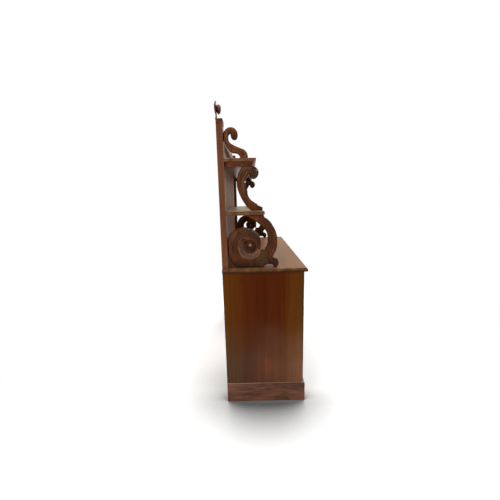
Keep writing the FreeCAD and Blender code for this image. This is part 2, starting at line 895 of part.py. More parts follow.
middle_start_share = (0.692, 0.0)
middle_outline_shares = [
    (0.995, 0.0),
    (0.995, 0.077),
    (0.925, 0.103, 0.854, 0.133),
    (0.839, 0.158),
    (0.700, 0.237, 0.597, 0.363),
    (0.546, 0.480, 0.541, 0.600),
    (0.524, 0.662, 0.545, 0.720),
    (0.590, 0.768, 0.622, 0.822),
    (0.640, 0.838, 0.656, 0.820),
    (0.700, 0.750, 0.778, 0.719),
    (0.868, 0.768, 0.905, 0.855),
    (0.873, 0.938, 0.778, 1.0),
    (0.480, 1.0),
    (0.387, 0.885, 0.330, 0.750),
    (0.312, 0.610, 0.348, 0.456),
    (0.437, 0.272, 0.577, 0.086),
    (0.630, 0.040, 0.692, 0.0),
]

top_start_share = (0.668, 0.0)
top_outline_shares = [
    (1.0, 0.0),
    (1.0, 0.040),
    (0.960, 0.170, 0.833, 0.285),
    (0.630, 0.350, 0.381, 0.446),
    (0.240, 0.545, 0.203, 0.687),
    (0.216, 0.760, 0.266, 0.806),
    (0.296, 0.806, 0.310, 0.780),
    (0.322, 0.690, 0.374, 0.635),
    (0.482, 0.612, 0.580, 0.690),
    (0.598, 0.800, 0.512, 0.933),
    (0.330, 0.998, 0.138, 0.952),
    (0.056, 0.885, 0.0, 0.800),
    (0.0, 0.600),
    (0.100, 0.430, 0.230, 0.272),
    (0.335, 0.200, 0.450, 0.178),
    (0.612, 0.125, 0.668, 0.0),
]


def bracket_blank(start, outline, holes, reach, height):
    """A bracket sawn from a board, and pierced"""
    thickness = read("bracket_thickness")

    def spot(reach_share, height_share):
        return Vector(-thickness / 2, -reach_share * reach, height_share * height)

    solid = Part.Face(outline_wire(start, outline, spot)).extrude(Vector(thickness, 0, 0))
    for hole_start, hole_rows in holes:
        hole = Part.Face(outline_wire(hole_start, hole_rows, spot)).extrude(Vector(thickness, 0, 0))
        solid = solid.cut(hole)
    return solid


def lower_bracket():
    """The pierced volute, with a turned groove and a coned boss in its eye on both faces"""
    reach = read("lower_reach")
    height = read("lower_shelf_rise")
    thickness = read("bracket_thickness")
    solid = bracket_blank(
        lower_start_share,
        lower_outline_shares,
        [(slot_start_share, slot_outline_shares)],
        reach,
        height,
    )
    centre_y = -eye_centre_shares[0] * reach
    centre_z = eye_centre_shares[1] * height
    boss_radius = read("eye_boss_radius")
    boss_rise = read("eye_boss_rise")
    groove_depth = read("eye_groove_depth")
    outer = eye_ring_share * reach
    inner = outer - read("eye_groove_width")
    for face in (-1, 1):
        outward = Vector(face, 0, 0)
        centre = Vector(face * thickness / 2, centre_y, centre_z)
        disc = Part.makeCylinder(outer, groove_depth, centre, -outward)
        core = Part.makeCylinder(inner, groove_depth, centre, -outward)
        solid = solid.cut(disc.cut(core))
        solid = solid.fuse(Part.makeCone(boss_radius, boss_radius / 2, boss_rise, centre, outward))
    return solid


brackets = {
    "lower_brackets": (lower_bracket(), "slab_top"),
    "middle_brackets": (
        bracket_blank(
            middle_start_share,
            middle_outline_shares,
            [],
            read("middle_reach"),
            read("apron_base - lower_shelf_top"),
        ),
        "lower_shelf_top",
    ),
    "top_brackets": (
        bracket_blank(top_start_share, top_outline_shares, [], read("top_reach"), read("top_height")),
        "upper_shelf_top",
    ),
}
for name, (shape, level) in brackets.items():
    pair = []
    for side in ("left", "right"):
        bracket = shape.copy()
        bracket.translate(Vector(read(mirrored_place(side, "post_middle")), 0, 0))
        pair.append(bracket)
    solid_piece(name, Part.makeCompound(pair), "0", "post_depth", level)

# Finials: a leaf-shaped plate that stands on the cap, and a carved bud on its face

# Half the leaf's outline from its foot to its tip; every second spot is the middle of an arc
leaf_spots_shares = [
    (0.20, 0.0),
    (0.14, 0.12),
    (0.17, 0.22),
    (0.40, 0.30),
    (0.50, 0.52),
    (0.47, 0.78),
    (0.27, 0.82),
    (0.16, 0.98),
    (0.0, 1.0),
]
leaf_level_shares = [0.0, 0.225, 0.5, 0.775, 1.0]
leaf_back_shares = [0.1, 0.4, 0.0, 0.0, 0.5]
leaf_front_shares = [1.0, 1.0, 1.0, 1.0, 0.8]


def finial_leaf():
    """The leaf's front outline, mirrored about its middle, crossed with its side outline"""
    width, height, thickness = (read(name) for name in ("leaf_width", "leaf_height", "leaf_thickness"))
    halves = []
    for hand in (1, -1):
        spots = [Vector(hand * across * width, 0, up * height) for across, up in leaf_spots_shares]
        arcs = [Part.Arc(*spots[step : step + 3]).toShape() for step in range(0, len(spots) - 2, 2)]
        halves.append(arcs)
    foot = Part.LineSegment(halves[1][0].Vertexes[0].Point, halves[0][0].Vertexes[0].Point).toShape()
    front = Part.Face(Part.Wire(Part.__sortEdges__(halves[0] + halves[1] + [foot])))
    levels = [share * height for share in leaf_level_shares]
    back_line = [Vector(-width, -share * thickness, up) for share, up in zip(leaf_back_shares, levels)]
    front_line = [Vector(-width, -share * thickness, up) for share, up in zip(leaf_front_shares, levels)]
    outline = Part.makePolygon(front_line + back_line[::-1] + front_line[:1])
    side = Part.Face(outline).extrude(Vector(width * 2, 0, 0))
    return front.extrude(Vector(0, -thickness, 0)).common(side)


bud_profile_shares = [
    (0.0, 0.0),
    (0.62, 0.14),
    (1.0, 0.58),
    (0.84, 0.92),
    (0.55, 1.0),
    (0.0, 1.0),
]


def finial_bud():
    """A bud turned about an upright line, flattened where it meets the leaf"""
    radius, height = read("bud_radius"), read("bud_height")
    points = [Vector(out * radius, 0, up * height) for out, up in bud_profile_shares]
    bud = Part.Face(Part.makePolygon(points + points[:1])).revolve(Vector(0, 0, 0), Vector(0, 0, 1), 360)
    seat = Part.makeBox(radius * 2, radius * 2, height, Vector(-radius, read("bud_seat"), 0))
    return bud.cut(seat)


leaf_solids = []
bud_solids = []
for side in ("left", "right"):
    middle = read(mirrored_place(side, "post_middle"))
    leaf = finial_leaf()
    leaf.translate(Vector(middle, read("leaf_set_back"), 0))
    leaf_solids.append(leaf)
    bud = finial_bud()
    bud.translate(Vector(middle, -read("leaf_thickness + bud_seat - leaf_set_back"), read("bud_rise")))
    bud_solids.append(bud)
solid_piece("finial_leaves", Part.makeCompound(leaf_solids), "0", "0", "cap_top")
solid_piece("finial_buds", Part.makeCompound(bud_solids), "0", "0", "cap_top")

# Drawer

front_board = block(
    "-drawer_half",
    "drawer_half",
    "drawer_back_face",
    "drawer_face",
    "drawer_floor",
    "drawer_floor + drawer_height",
)
bead_outer = block(
    "-drawer_half",
    "drawer_half",
    "drawer_face - cock_bead",
    "case_depth",
    "drawer_floor",
    "drawer_floor + drawer_height",
)
bead_inner = block(
    "-drawer_half + cock_bead",
    "drawer_half - cock_bead",
    "drawer_face",
    "case_depth + overrun",
    "drawer_floor + cock_bead",
    "drawer_floor + drawer_height - cock_bead",
)
groove_front = block(
    "-drawer_half + drawer_side_thickness - drawer_groove",
    "drawer_half - drawer_side_thickness + drawer_groove",
    "drawer_back_face - overrun",
    "drawer_back_face + drawer_groove",
    "drawer_floor + drawer_bottom_rise",
    "drawer_floor + drawer_bottom_rise + drawer_bottom_thickness",
)
tenon_holes = [
    rod(
        "knob_tenon",
        "drawer_front_thickness + overrun * 2",
        "knob_spread / 2 * %d" % step,
        "drawer_face + overrun",
        "drawer_floor + drawer_height / 2",
        "y",
    )
    for step in (-1, 1)
]
keep(cut(joined(front_board, cut(bead_outer, bead_inner)), groove_front, *tenon_holes), "drawer_front")

drawer_sides = []
side_inside = "drawer_half - drawer_side_thickness"
for side in ("left", "right"):
    x_from, x_to = mirrored_span(side, side_inside, "drawer_half")
    groove_from, groove_to = mirrored_span(side, side_inside + " - overrun", side_inside + " + drawer_groove")
    side_board = block(
        x_from, x_to, "drawer_end", "drawer_back_face", "drawer_floor", "drawer_floor + drawer_height"
    )
    groove = block(
        groove_from,
        groove_to,
        "drawer_end - overrun",
        "drawer_back_face + overrun",
        "drawer_floor + drawer_bottom_rise",
        "drawer_floor + drawer_bottom_rise + drawer_bottom_thickness",
    )
    drawer_sides.append(cut(side_board, groove))
keep(grouped(*drawer_sides), "drawer_sides")
keep(
    block(
        "-drawer_half + drawer_side_thickness",
        "drawer_half - drawer_side_thickness",
        "drawer_end",
        "drawer_end + drawer_back_thickness",
        "drawer_floor + drawer_bottom_rise + drawer_bottom_thickness",
        "drawer_floor + drawer_height",
    ),
    "drawer_back",
)
keep(
    block(
        "-drawer_half + drawer_side_thickness - drawer_groove",
        "drawer_half - drawer_side_thickness + drawer_groove",
        "drawer_end",
        "drawer_back_face + drawer_groove",
        "drawer_floor + drawer_bottom_rise",
        "drawer_floor + drawer_bottom_rise + drawer_bottom_thickness",
    ),
    "drawer_bottom",
)

# The knob's turned profile in shares of its radius and reach: flared base, waist, rim and button
knob_profile_shares = [
    (0.62, 0.0),
    (0.50, 0.34),
    (1.0, 0.64),
    (0.94, 0.84),
    (0.30, 1.0),
    (0.0, 1.0),
]


def drawer_knob():
    """A turned knob: a tenon through the drawer front, a neck, and a mushroom head"""
    radius, reach, tenon = (read(name) for name in ("knob_radius", "knob_reach", "knob_tenon"))
    root = Vector(0, 0, -read("drawer_front_thickness"))
    shoulder = Vector(tenon, 0, 0)
    spots = [Vector(out * radius, 0, up * reach) for out, up in knob_profile_shares]
    outline = Part.makePolygon([root, shoulder + root, shoulder] + spots + [root])
    knob = Part.Face(outline).revolve(Vector(0, 0, 0), Vector(0, 0, 1), 360)
    knob.rotate(Vector(0, 0, 0), Vector(1, 0, 0), 90)
    return knob


knobs = []
for step in (-1, 1):
    knob = drawer_knob()
    knob.translate(Vector(step * read("knob_spread / 2"), 0, 0))
    knobs.append(knob)
solid_piece("drawer_knobs", Part.makeCompound(knobs), "0", "drawer_face", "drawer_floor + drawer_height / 2")

# Doors: framed round an arched panel, hung on butt hinges

door_hollow = "door_outer - door_inner - door_stile_width * 2"


def arch_points(margin):
    """The ends and the crown of the arch in a door's own corner, drawn in by a margin"""
    left = read("door_stile_width") + margin
    right = read("door_outer - door_inner - door_stile_width") - margin
    crown = read("door_crest - door_foot - door_top_rail") - margin
    spring = crown - read("arch_rise")
    return left, right, spring, crown


def arched_frame_wire(margin, face):
    """The panel opening with its arched head, drawn in by a margin, at a depth behind the face"""
    left, right, spring, crown = arch_points(margin)
    foot = read("door_bottom_rail") + margin
    corners = [Vector(x, face, z) for x, z in ((left, spring), (left, foot), (right, foot), (right, spring))]
    edges = [Part.LineSegment(corners[i], corners[i + 1]).toShape() for i in range(3)]
    edges.append(Part.Arc(corners[3], Vector((left + right) / 2, face, crown), corners[0]).toShape())
    return Part.Wire(edges)


def door_moulding():
    """A moulding planted inside the arched opening, bevelled towards the panel"""
    width = read("moulding_width")
    depth = read("door_thickness - door_panel_thickness + moulding_proud")
    back_line = read("door_thickness - door_panel_thickness")
    outer = Part.Face(arched_frame_wire(0, back_line)).extrude(Vector(0, -depth, 0))
    inner = Part.Face(arched_frame_wire(width, back_line)).extrude(Vector(0, -depth, 0))
    ring = outer.cut(inner)
    left, right, spring, crown = arch_points(width)
    foot = read("door_bottom_rail") + width
    face = -read("moulding_proud")
    inner_edges = []
    for edge in ring.Edges:
        middle = edge.valueAt((edge.FirstParameter + edge.LastParameter) / 2)
        across = left - near_enough <= middle.x <= right + near_enough
        up = foot - near_enough <= middle.z <= crown + near_enough
        if close(middle.y, face) and across and up:
            inner_edges.append(edge)
    return ring.makeChamfer(read("moulding_bevel"), inner_edges)


def door_top_rail():
    """The top rail, its lower edge sawn to the arch, with a square rebate behind for the panel"""
    left, right, spring, crown = arch_points(0)
    top = read("door_crest - door_foot")
    thickness = read("door_thickness")
    corners = [Vector(right, 0, spring), Vector(right, 0, top), Vector(left, 0, top), Vector(left, 0, spring)]
    edges = [Part.LineSegment(corners[i], corners[i + 1]).toShape() for i in range(3)]
    edges.append(Part.Arc(corners[3], Vector((left + right) / 2, 0, crown), corners[0]).toShape())
    rail = Part.Face(Part.Wire(edges)).extrude(Vector(0, thickness, 0))
    panel_depth = read("door_panel_thickness")
    rebate_top = crown + read("rebate_width")
    rebate = Part.makeBox(
        right - left, panel_depth, rebate_top, Vector(left, thickness - panel_depth, 0)
    )
    return rail.cut(rebate)


for side in ("left", "right"):
    # The doors are laid out from the hinge side's mirror: local x runs from the door's left edge
    edge_x = "door_inner" if side == "right" else "-door_outer"
    far_x = "door_outer" if side == "right" else "-door_inner"
    rebate_depths = ("door_back - overrun", "door_back + door_panel_thickness")
    stiles = []
    for x_from, x_to, r_from, r_to in (
        (edge_x, "%s + door_stile_width" % edge_x, "%s + door_stile_width - rebate_width" % edge_x,
         "%s + door_stile_width + overrun" % edge_x),
        ("%s - door_stile_width" % far_x, far_x, "%s - door_stile_width - overrun" % far_x,
         "%s - door_stile_width + rebate_width" % far_x),
    ):
        stile = block(x_from, x_to, "door_back", "case_depth", "door_foot", "door_crest")
        rebate = block(
            r_from,
            r_to,
            rebate_depths[0],
            rebate_depths[1],
            "door_foot + door_bottom_rail - rebate_width",
            "door_crest - door_top_rail + rebate_width",
        )
        stiles.append([stile, rebate])
    hinge_stile = stiles[1] if side == "right" else stiles[0]
    lock_stile = stiles[0] if side == "right" else stiles[1]
    for level in hinge_levels:
        plate_from, plate_to = mirrored_span(
            side, "hinge_line - knuckle_gap / 2 - leaf_plate", "hinge_line + overrun"
        )
        hinge_stile.append(
            block(
                plate_from,
                plate_to,
                "case_depth - leaf_plate_depth",
                "case_depth + overrun",
                level,
                "%s + hinge_height" % level,
            )
        )
    if side == "right":
        lock_stile.append(
            rod(
                "key_shank + lock_clearance",
                "door_thickness + overrun * 2",
                "door_inner + key_backset",
                "case_depth + overrun",
                "lock_level",
                "y",
            )
        )
    keep(grouped(*[cut(parts[0], *parts[1:]) for parts in stiles]), "door_%s_stiles" % side)

    solid_piece("door_%s_top_rail" % side, door_top_rail(), edge_x, "case_depth", "door_foot")
    bottom_rail = block(
        "%s + door_stile_width" % edge_x,
        "%s - door_stile_width" % far_x,
        "door_back",
        "case_depth",
        "door_foot",
        "door_foot + door_bottom_rail",
    )
    rail_rebate = block(
        "%s + door_stile_width - overrun" % edge_x,
        "%s - door_stile_width + overrun" % far_x,
        rebate_depths[0],
        rebate_depths[1],
        "door_foot + door_bottom_rail - rebate_width",
        "door_foot + door_bottom_rail + overrun",
    )
    keep(cut(bottom_rail, rail_rebate), "door_%s_bottom_rail" % side)
    keep(
        block(
            "%s + door_stile_width - rebate_width" % edge_x,
            "%s - door_stile_width + rebate_width" % far_x,
            "door_back",
            "door_back + door_panel_thickness",
            "door_foot + door_bottom_rail - rebate_width",
            "door_crest - door_top_rail + rebate_width",
        ),
        "door_%s_panel" % side,
    )
    solid_piece("door_%s_moulding" % side, door_moulding(), edge_x, "case_depth", "door_foot")


def hinge_half(side, level, on_door):
    """One leaf of a butt hinge with its knuckles; the door has the middle one of three"""
    direction = 1 if side == "right" else -1
    height = read("hinge_height")
    third = height / 3
    gap = read("knuckle_gap")
    radius = read("knuckle_radius")
    plate = read("leaf_plate")
    depth = read("leaf_plate_depth + knuckle_radius + knuckle_gap")
    base = read(level)
    toward = -1 if on_door else 1
    near = toward * direction * gap / 2
    far = near + toward * direction * plate
    leaf = Part.makeBox(abs(far - near), depth, height, Vector(min(near, far), 0, base))
    tall = Vector(0, 0, 1)
    spans = [(third, third * 2)] if on_door else [(0, third), (third * 2, height)]
    others = [(0, third), (third * 2, height)] if on_door else [(third, third * 2)]
    clear = radius + gap
    for start, stop in others:
        corner = Vector(-clear, -clear, base + start - gap)
        leaf = leaf.cut(Part.makeBox(clear * 2, clear * 2, stop - start + gap * 2, corner))
    for start, stop in spans:
        low = start + (gap / 2 if start > 0 else 0)
        high = stop - (gap / 2 if stop < height else 0)
        leaf = leaf.fuse(Part.makeCylinder(radius, high - low, Vector(0, 0, base + low), tall))
    pin = read("pin_radius")
    if on_door:
        bore = pin + read("pin_clearance")
        return leaf.cut(Part.makeCylinder(bore, height, Vector(0, 0, base), tall))
    return leaf.fuse(Part.makeCylinder(pin, height, Vector(0, 0, base), tall)).removeSplitter()


case_hinges = []
for side in ("left", "right"):
    shift = read(mirrored_place(side, "hinge_line"))
    for level in hinge_levels:
        half = hinge_half(side, level, False)
        half.translate(Vector(shift, 0, 0))
        case_hinges.append(half)
    door_halves = Part.makeCompound([hinge_half(side, level, True) for level in hinge_levels])
    solid_piece("door_%s_hinges" % side, door_halves, mirrored_place(side, "hinge_line"), "hinge_depth", "0")
solid_piece("case_hinges", Part.makeCompound(case_hinges), "0", "hinge_depth", "0")

# Lock on the right door: a case behind the stile, a bolt that slides in it, a keeper on the left
# door, an escutcheon on the face, and a key that turns through them

lock_box = block(
    "door_inner",
    "door_inner + lock_width",
    "door_back - lock_thickness",
    "door_back",
    "lock_level - lock_height / 2",
    "lock_level + lock_height / 2",
)
bolt_channel = block(
    "door_inner - overrun",
    "door_inner + lock_bolt_length + lock_clearance",
    "lock_bolt_depth - lock_bolt_thickness / 2 - lock_clearance",
    "lock_bolt_depth + lock_bolt_thickness / 2 + lock_clearance",
    "lock_bolt_level - lock_bolt_width / 2 - lock_clearance",
    "lock_bolt_level + lock_bolt_width / 2 + lock_clearance",
)
bit_space = block(
    "door_inner + key_backset - key_bit_radius - lock_clearance * 2",
    "door_inner + key_backset + key_bit_radius + lock_clearance * 2",
    "lock_bolt_depth - lock_bolt_thickness / 2 - lock_clearance",
    "lock_bolt_depth + lock_bolt_thickness / 2 + lock_clearance",
    "lock_level - key_bit_radius - lock_clearance * 2",
    "lock_level + key_bit_radius + lock_clearance * 2",
)
key_hole = rod(
    "key_shank + lock_clearance",
    "lock_thickness",
    "door_inner + key_backset",
    "door_back + overrun",
    "lock_level",
    "y",
)
keep(cut(lock_box, bolt_channel, bit_space, key_hole), "lock_case")
bolt_bar = block(
    "door_inner",
    "door_inner + lock_bolt_length",
    "lock_bolt_depth - lock_bolt_thickness / 2",
    "lock_bolt_depth + lock_bolt_thickness / 2",
    "lock_bolt_level - lock_bolt_width / 2",
    "lock_bolt_level + lock_bolt_width / 2",
)
# The notch is as long as the bit's swing at that height and the travel of the bolt together
talon = block(
    "door_inner + key_backset - key_bit_radius * 2 / 3",
    "door_inner + key_backset + key_bit_radius * 2 / 3 + lock_throw",
    "lock_bolt_depth - lock_bolt_thickness / 2 - overrun",
    "lock_bolt_depth + lock_bolt_thickness / 2 + overrun",
    "lock_bolt_level - lock_bolt_width / 2 - overrun",
    "lock_bolt_level - lock_bolt_width / 2 + talon_depth",
)
keep(cut(bolt_bar, talon), "lock_bolt")
keeper_box = block(
    "-door_inner - keeper_length",
    "-door_inner",
    "door_back - lock_thickness",
    "door_back",
    "lock_bolt_level - lock_bolt_width",
    "lock_bolt_level + lock_bolt_width",
)
keeper_slot = block(
    "-door_inner - keeper_length + bolt_plate",
    "-door_inner + overrun",
    "lock_bolt_depth - lock_bolt_thickness / 2 - lock_clearance",
    "lock_bolt_depth + lock_bolt_thickness / 2 + lock_clearance",
    "lock_bolt_level - lock_bolt_width / 2 - lock_clearance",
    "lock_bolt_level + lock_bolt_width / 2 + lock_clearance",
)
keep(cut(keeper_box, keeper_slot), "lock_keeper")
plate = prism(
    4,
    "escutcheon_radius",
    "escutcheon_thickness",
    "door_inner + key_backset",
    "case_depth + escutcheon_thickness",
    "lock_level",
    "y",
)
plate_hole = rod(
    "key_shank + lock_clearance",
    "escutcheon_thickness + overrun * 2",
    "door_inner + key_backset",
    "case_depth + escutcheon_thickness + overrun",
    "lock_level",
    "y",
)
keep(cut(plate, plate_hole), "escutcheon")

shank = rod(
    "key_shank",
    "key_neck + door_thickness + lock_thickness / 2 + lock_bolt_thickness / 2",
    "door_inner + key_backset",
    "case_depth + key_neck",
    "lock_level",
    "y",
)
bit = block(
    "door_inner + key_backset - key_bit_width / 2",
    "door_inner + key_backset + key_bit_width / 2",
    "lock_bolt_depth - lock_bolt_thickness / 2",
    "lock_bolt_depth + lock_bolt_thickness / 2",
    "lock_level - key_bit_radius",
    "lock_level",
)
bow_plate = prism(
    8,
    "key_bow_radius",
    "key_bow_thickness",
    "door_inner + key_backset - key_bow_thickness / 2",
    "case_depth + key_bow_out",
    "lock_level",
    "x",
)
bow_hole = prism(
    8,
    "key_bow_radius - key_bow_rim",
    "key_bow_thickness + overrun * 2",
    "door_inner + key_backset - key_bow_thickness / 2 - overrun",
    "case_depth + key_bow_out",
    "lock_level",
    "x",
)
keep(joined(shank, bit, cut(bow_plate, bow_hole)), "key")

# Cupboard bolt behind the left door: its square bar slides up in a sleeve into the drawer rail

bolt_x = "-(door_inner + bolt_inset)"
sleeve_foot = "bolt_top - bolt_case_height - bolt_travel"
bolt_plate = block(
    "%s - bolt_case_width / 2" % bolt_x,
    "%s + bolt_case_width / 2" % bolt_x,
    "door_back - bolt_plate",
    "door_back",
    sleeve_foot,
    "bolt_top - bolt_travel",
)
sleeve = square_bar("bolt_sleeve", bolt_x, "bolt_depth", sleeve_foot, "bolt_top - bolt_travel")
channel = square_bar(
    "bolt_width / 2 + bolt_clearance",
    bolt_x,
    "bolt_depth",
    "%s - overrun" % sleeve_foot,
    "bolt_top - bolt_travel + overrun",
)
keep(cut(joined(bolt_plate, sleeve), channel), "bolt_case")
bar = square_bar("bolt_width / 2", bolt_x, "bolt_depth", "bolt_top - bolt_length", "bolt_top")
grip = square_bar(
    "bolt_width / 2 + bolt_strap",
    bolt_x,
    "bolt_depth",
    "bolt_top - bolt_length",
    "bolt_top - bolt_length + bolt_width",
)
keep(joined(bar, grip), "cupboard_bolt")

doc.recompute()

faults = []
for item in doc.Objects:
    if "Invalid" in item.State or "Error" in item.State:
        faults.append("%s (%s) is %s" % (item.Label, item.Name, item.State))
for item in kept:
    if item.Shape.isNull() or not item.Shape.isValid():
        faults.append("%s has no valid shape" % item.Label)
if faults:
    raise RuntimeError("; ".join(faults))

os.makedirs("parts", exist_ok=True)
for item in kept:
    item.Shape.exportStep("parts/%s.step" % item.Label)
print("%d sub-parts written" % len(kept))
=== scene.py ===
import math
import bpy
import numpy as np
from mathutils import Matrix, Vector


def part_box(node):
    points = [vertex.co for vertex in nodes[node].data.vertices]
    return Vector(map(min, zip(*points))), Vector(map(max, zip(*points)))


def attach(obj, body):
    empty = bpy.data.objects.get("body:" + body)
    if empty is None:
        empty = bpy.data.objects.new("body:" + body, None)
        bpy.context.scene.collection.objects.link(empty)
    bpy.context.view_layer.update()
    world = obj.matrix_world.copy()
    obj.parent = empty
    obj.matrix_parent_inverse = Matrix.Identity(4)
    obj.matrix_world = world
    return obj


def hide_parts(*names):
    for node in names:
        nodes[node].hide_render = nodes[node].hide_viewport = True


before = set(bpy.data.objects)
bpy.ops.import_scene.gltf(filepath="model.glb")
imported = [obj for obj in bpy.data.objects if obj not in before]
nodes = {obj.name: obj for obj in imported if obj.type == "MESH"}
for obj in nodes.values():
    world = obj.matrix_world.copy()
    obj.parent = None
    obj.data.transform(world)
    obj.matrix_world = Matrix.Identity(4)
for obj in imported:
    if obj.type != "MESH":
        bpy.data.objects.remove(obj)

scene = bpy.context.scene
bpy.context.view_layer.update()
print("frame loaded:", len(nodes), "nodes")


# sRGB hex text to linear light, as the shaders want it
def paint(hexText):
    parts = [int(hexText[i:i + 2], 16) / 255 for i in (0, 2, 4)]
    return tuple(c / 12.92 if c <= 0.04045 else ((c + 0.055) / 1.055) ** 2.4 for c in parts) + (1.0,)


# Adds one shader node: settings name its own properties or its sockets, links name a socket and its source
def addNode(tree, kind, settings=None, links=None):
    node = tree.nodes.new("ShaderNode" + kind)
    for name, value in (settings or {}).items():
        if not isinstance(name, int) and hasattr(node, name):
            setattr(node, name, value)
        else:
            node.inputs[name].default_value = value
    for name, (source, output) in (links or {}).items():
        tree.links.new(source.outputs[output], node.inputs[name])
    return node


# Fills a ramp: stops are (place, hex text), straight between them
def setRamp(node, stops):
    ramp = node.color_ramp
    while len(ramp.elements) > len(stops):
        ramp.elements.remove(ramp.elements[-1])
    while len(ramp.elements) < len(stops):
        ramp.elements.new(0.5)
    for element, (place, hexText) in zip(ramp.elements, stops):
        element.position = place
        element.color = paint(hexText)
    return node


smooth = {"interpolation_type": "SMOOTHSTEP"}  # a Map Range that eases in and out


# A new material whose node tree is still empty
def emptyMaterial(name):
    material = bpy.data.materials.new(name)
    material.use_nodes = True
    material.node_tree.nodes.clear()
    return material, material.node_tree


# camera: at the photographer's eye, near the end of the sideboard
camera = {
    "place": (-2.0143, 0.0728, 1.204),
    "pitch": 10.86,      # degrees down
    "yaw": 0.367,        # degrees towards the back
    "roll": -1.436,      # degrees, the photograph leans a little
    "lens": 18.943,      # mm on a 36 mm wide film
}
pitch, yaw, roll = (math.radians(camera[name]) for name in ("pitch", "yaw", "roll"))
level = Vector((math.cos(yaw), math.sin(yaw), 0))
forward = level * math.cos(pitch) + Vector((0, 0, -math.sin(pitch)))
right = Vector((math.sin(yaw), -math.cos(yaw), 0))
up = level * math.sin(pitch) + Vector((0, 0, math.cos(pitch)))
rightTurned = right * math.cos(roll) + up * math.sin(roll)
upTurned = up * math.cos(roll) - right * math.sin(roll)
turn = Matrix((rightTurned, upTurned, -forward)).transposed()
cameraObject = bpy.data.objects.new("camera", bpy.data.cameras.new("camera"))
cameraObject.matrix_world = Matrix.Translation(camera["place"]) @ turn.to_4x4()
cameraObject.data.lens = camera["lens"]
cameraObject.data.sensor_width = 36
scene.collection.objects.link(cameraObject)
scene.camera = cameraObject
print("camera set")

# floor and light: a pale studio floor, white where the camera looks past the shadow
studio = {
    "floorSize": 30.0,
    "floorTint": "F4F4F2",
    "litShare": 0.70,      # how much of the real lit floor shows near the sideboard
    "whiteShare": 0.42,    # white added to it
    "shadowReach": (0.9, 1.9),   # m from the middle, the shadow fades out between these
    "contactReach": 0.35,  # m, how far the plinth closes the floor in
    "contactStart": 0.54,  # openness of the floor right at the plinth, where the shade is full
    "contactShade": {"ends": 0.03, "front": 0.86, "back": 0.60, "middle": 0.94},  # light left there
    "contactDepth": 0.25,          # m before and behind the middle, where front and back shade are full
    "contactSides": (0.05, 0.50),  # m from the middle along the length, middle shade turns into side shade
    "contactEnds": (0.50, 0.66),   # and side shade into that of the ends
    "skyLight": 0.80,
    "darkEnd": 0.22,       # share of the sky light that comes from behind the camera
    "darkReach": (-0.9, -0.1),  # where the sky turns from the dark end to its full light
}
floorMesh = bpy.data.meshes.new("studioFloor")
half = studio["floorSize"] / 2
corners = [(-half, -half, 0), (half, -half, 0), (half, half, 0), (-half, half, 0)]
floorMesh.from_pydata(corners, [], [(0, 1, 2, 3)])
floor = bpy.data.objects.new("studioFloor", floorMesh)
scene.collection.objects.link(floor)
floorMaterial, tree = emptyMaterial("paleStudioFloor")
path = addNode(tree, "LightPath")
larger = {"operation": "MAXIMUM"}
seen = addNode(tree, "Math", larger, {0: (path, "Is Camera Ray"), 1: (path, "Is Glossy Ray")})
seen = addNode(tree, "Math", larger, {0: (seen, 0), 1: (path, "Is Transmission Ray")})
matt = addNode(tree, "BsdfDiffuse", {"Color": paint(studio["floorTint"])})
black = addNode(tree, "Emission", {"Strength": 0.0})
white = addNode(tree, "Emission", {"Strength": 1.0})
glow = addNode(tree, "Emission", {"Strength": studio["whiteShare"]})
lit = addNode(tree, "MixShader", {0: studio["litShare"]}, {1: (black, 0), 2: (matt, 0)})
lit = addNode(tree, "AddShader", {}, {0: (lit, 0), 1: (glow, 0)})
# the contact shadow: the floor goes darker where the plinth closes it in, most beyond the two ends
closed = addNode(tree, "AmbientOcclusion", {"samples": 16, "Distance": studio["contactReach"]})
where = addNode(tree, "TexCoord")
axes = addNode(tree, "SeparateXYZ", {}, {0: (where, "Object")})
shade = studio["contactShade"]
beside = addNode(tree, "MapRange", {
    "From Min": -studio["contactDepth"], "From Max": studio["contactDepth"],
    "To Min": shade["front"], "To Max": shade["back"],
}, {0: (axes, "Y")})
endwise = addNode(tree, "Math", {"operation": "ABSOLUTE"}, {0: (axes, "X")})
low, high = studio["contactSides"]
nearSide = addNode(tree, "MapRange", {**smooth, "From Min": low, "From Max": high}, {0: (endwise, 0)})
beside = addNode(tree, "Mix", {"A": shade["middle"]}, {"Factor": (nearSide, 0), "B": (beside, 0)})
low, high = studio["contactEnds"]
nearEnd = addNode(tree, "MapRange", {**smooth, "From Min": low, "From Max": high}, {0: (endwise, 0)})
least = addNode(tree, "Mix", {"B": shade["ends"]}, {"Factor": (nearEnd, 0), "A": (beside, 0)})
openness = {"From Min": studio["contactStart"]}
contact = addNode(tree, "MapRange", openness, {0: (closed, "AO"), "To Min": (least, 0)})
lit = addNode(tree, "MixShader", {}, {0: (contact, 0), 1: (black, 0), 2: (lit, 0)})
away = addNode(tree, "VectorMath", {"operation": "LENGTH"}, {0: (where, "Object")})
low, high = studio["shadowReach"]
far = addNode(tree, "MapRange", {"From Min": low, "From Max": high}, {0: (away, "Value")})
shown = addNode(tree, "MixShader", {}, {0: (far, 0), 1: (lit, 0), 2: (white, 0)})
floorMix = addNode(tree, "MixShader", {}, {0: (seen, 0), 1: (matt, 0), 2: (shown, 0)})
addNode(tree, "OutputMaterial", {}, {"Surface": (floorMix, 0)})
floorMesh.materials.append(floorMaterial)

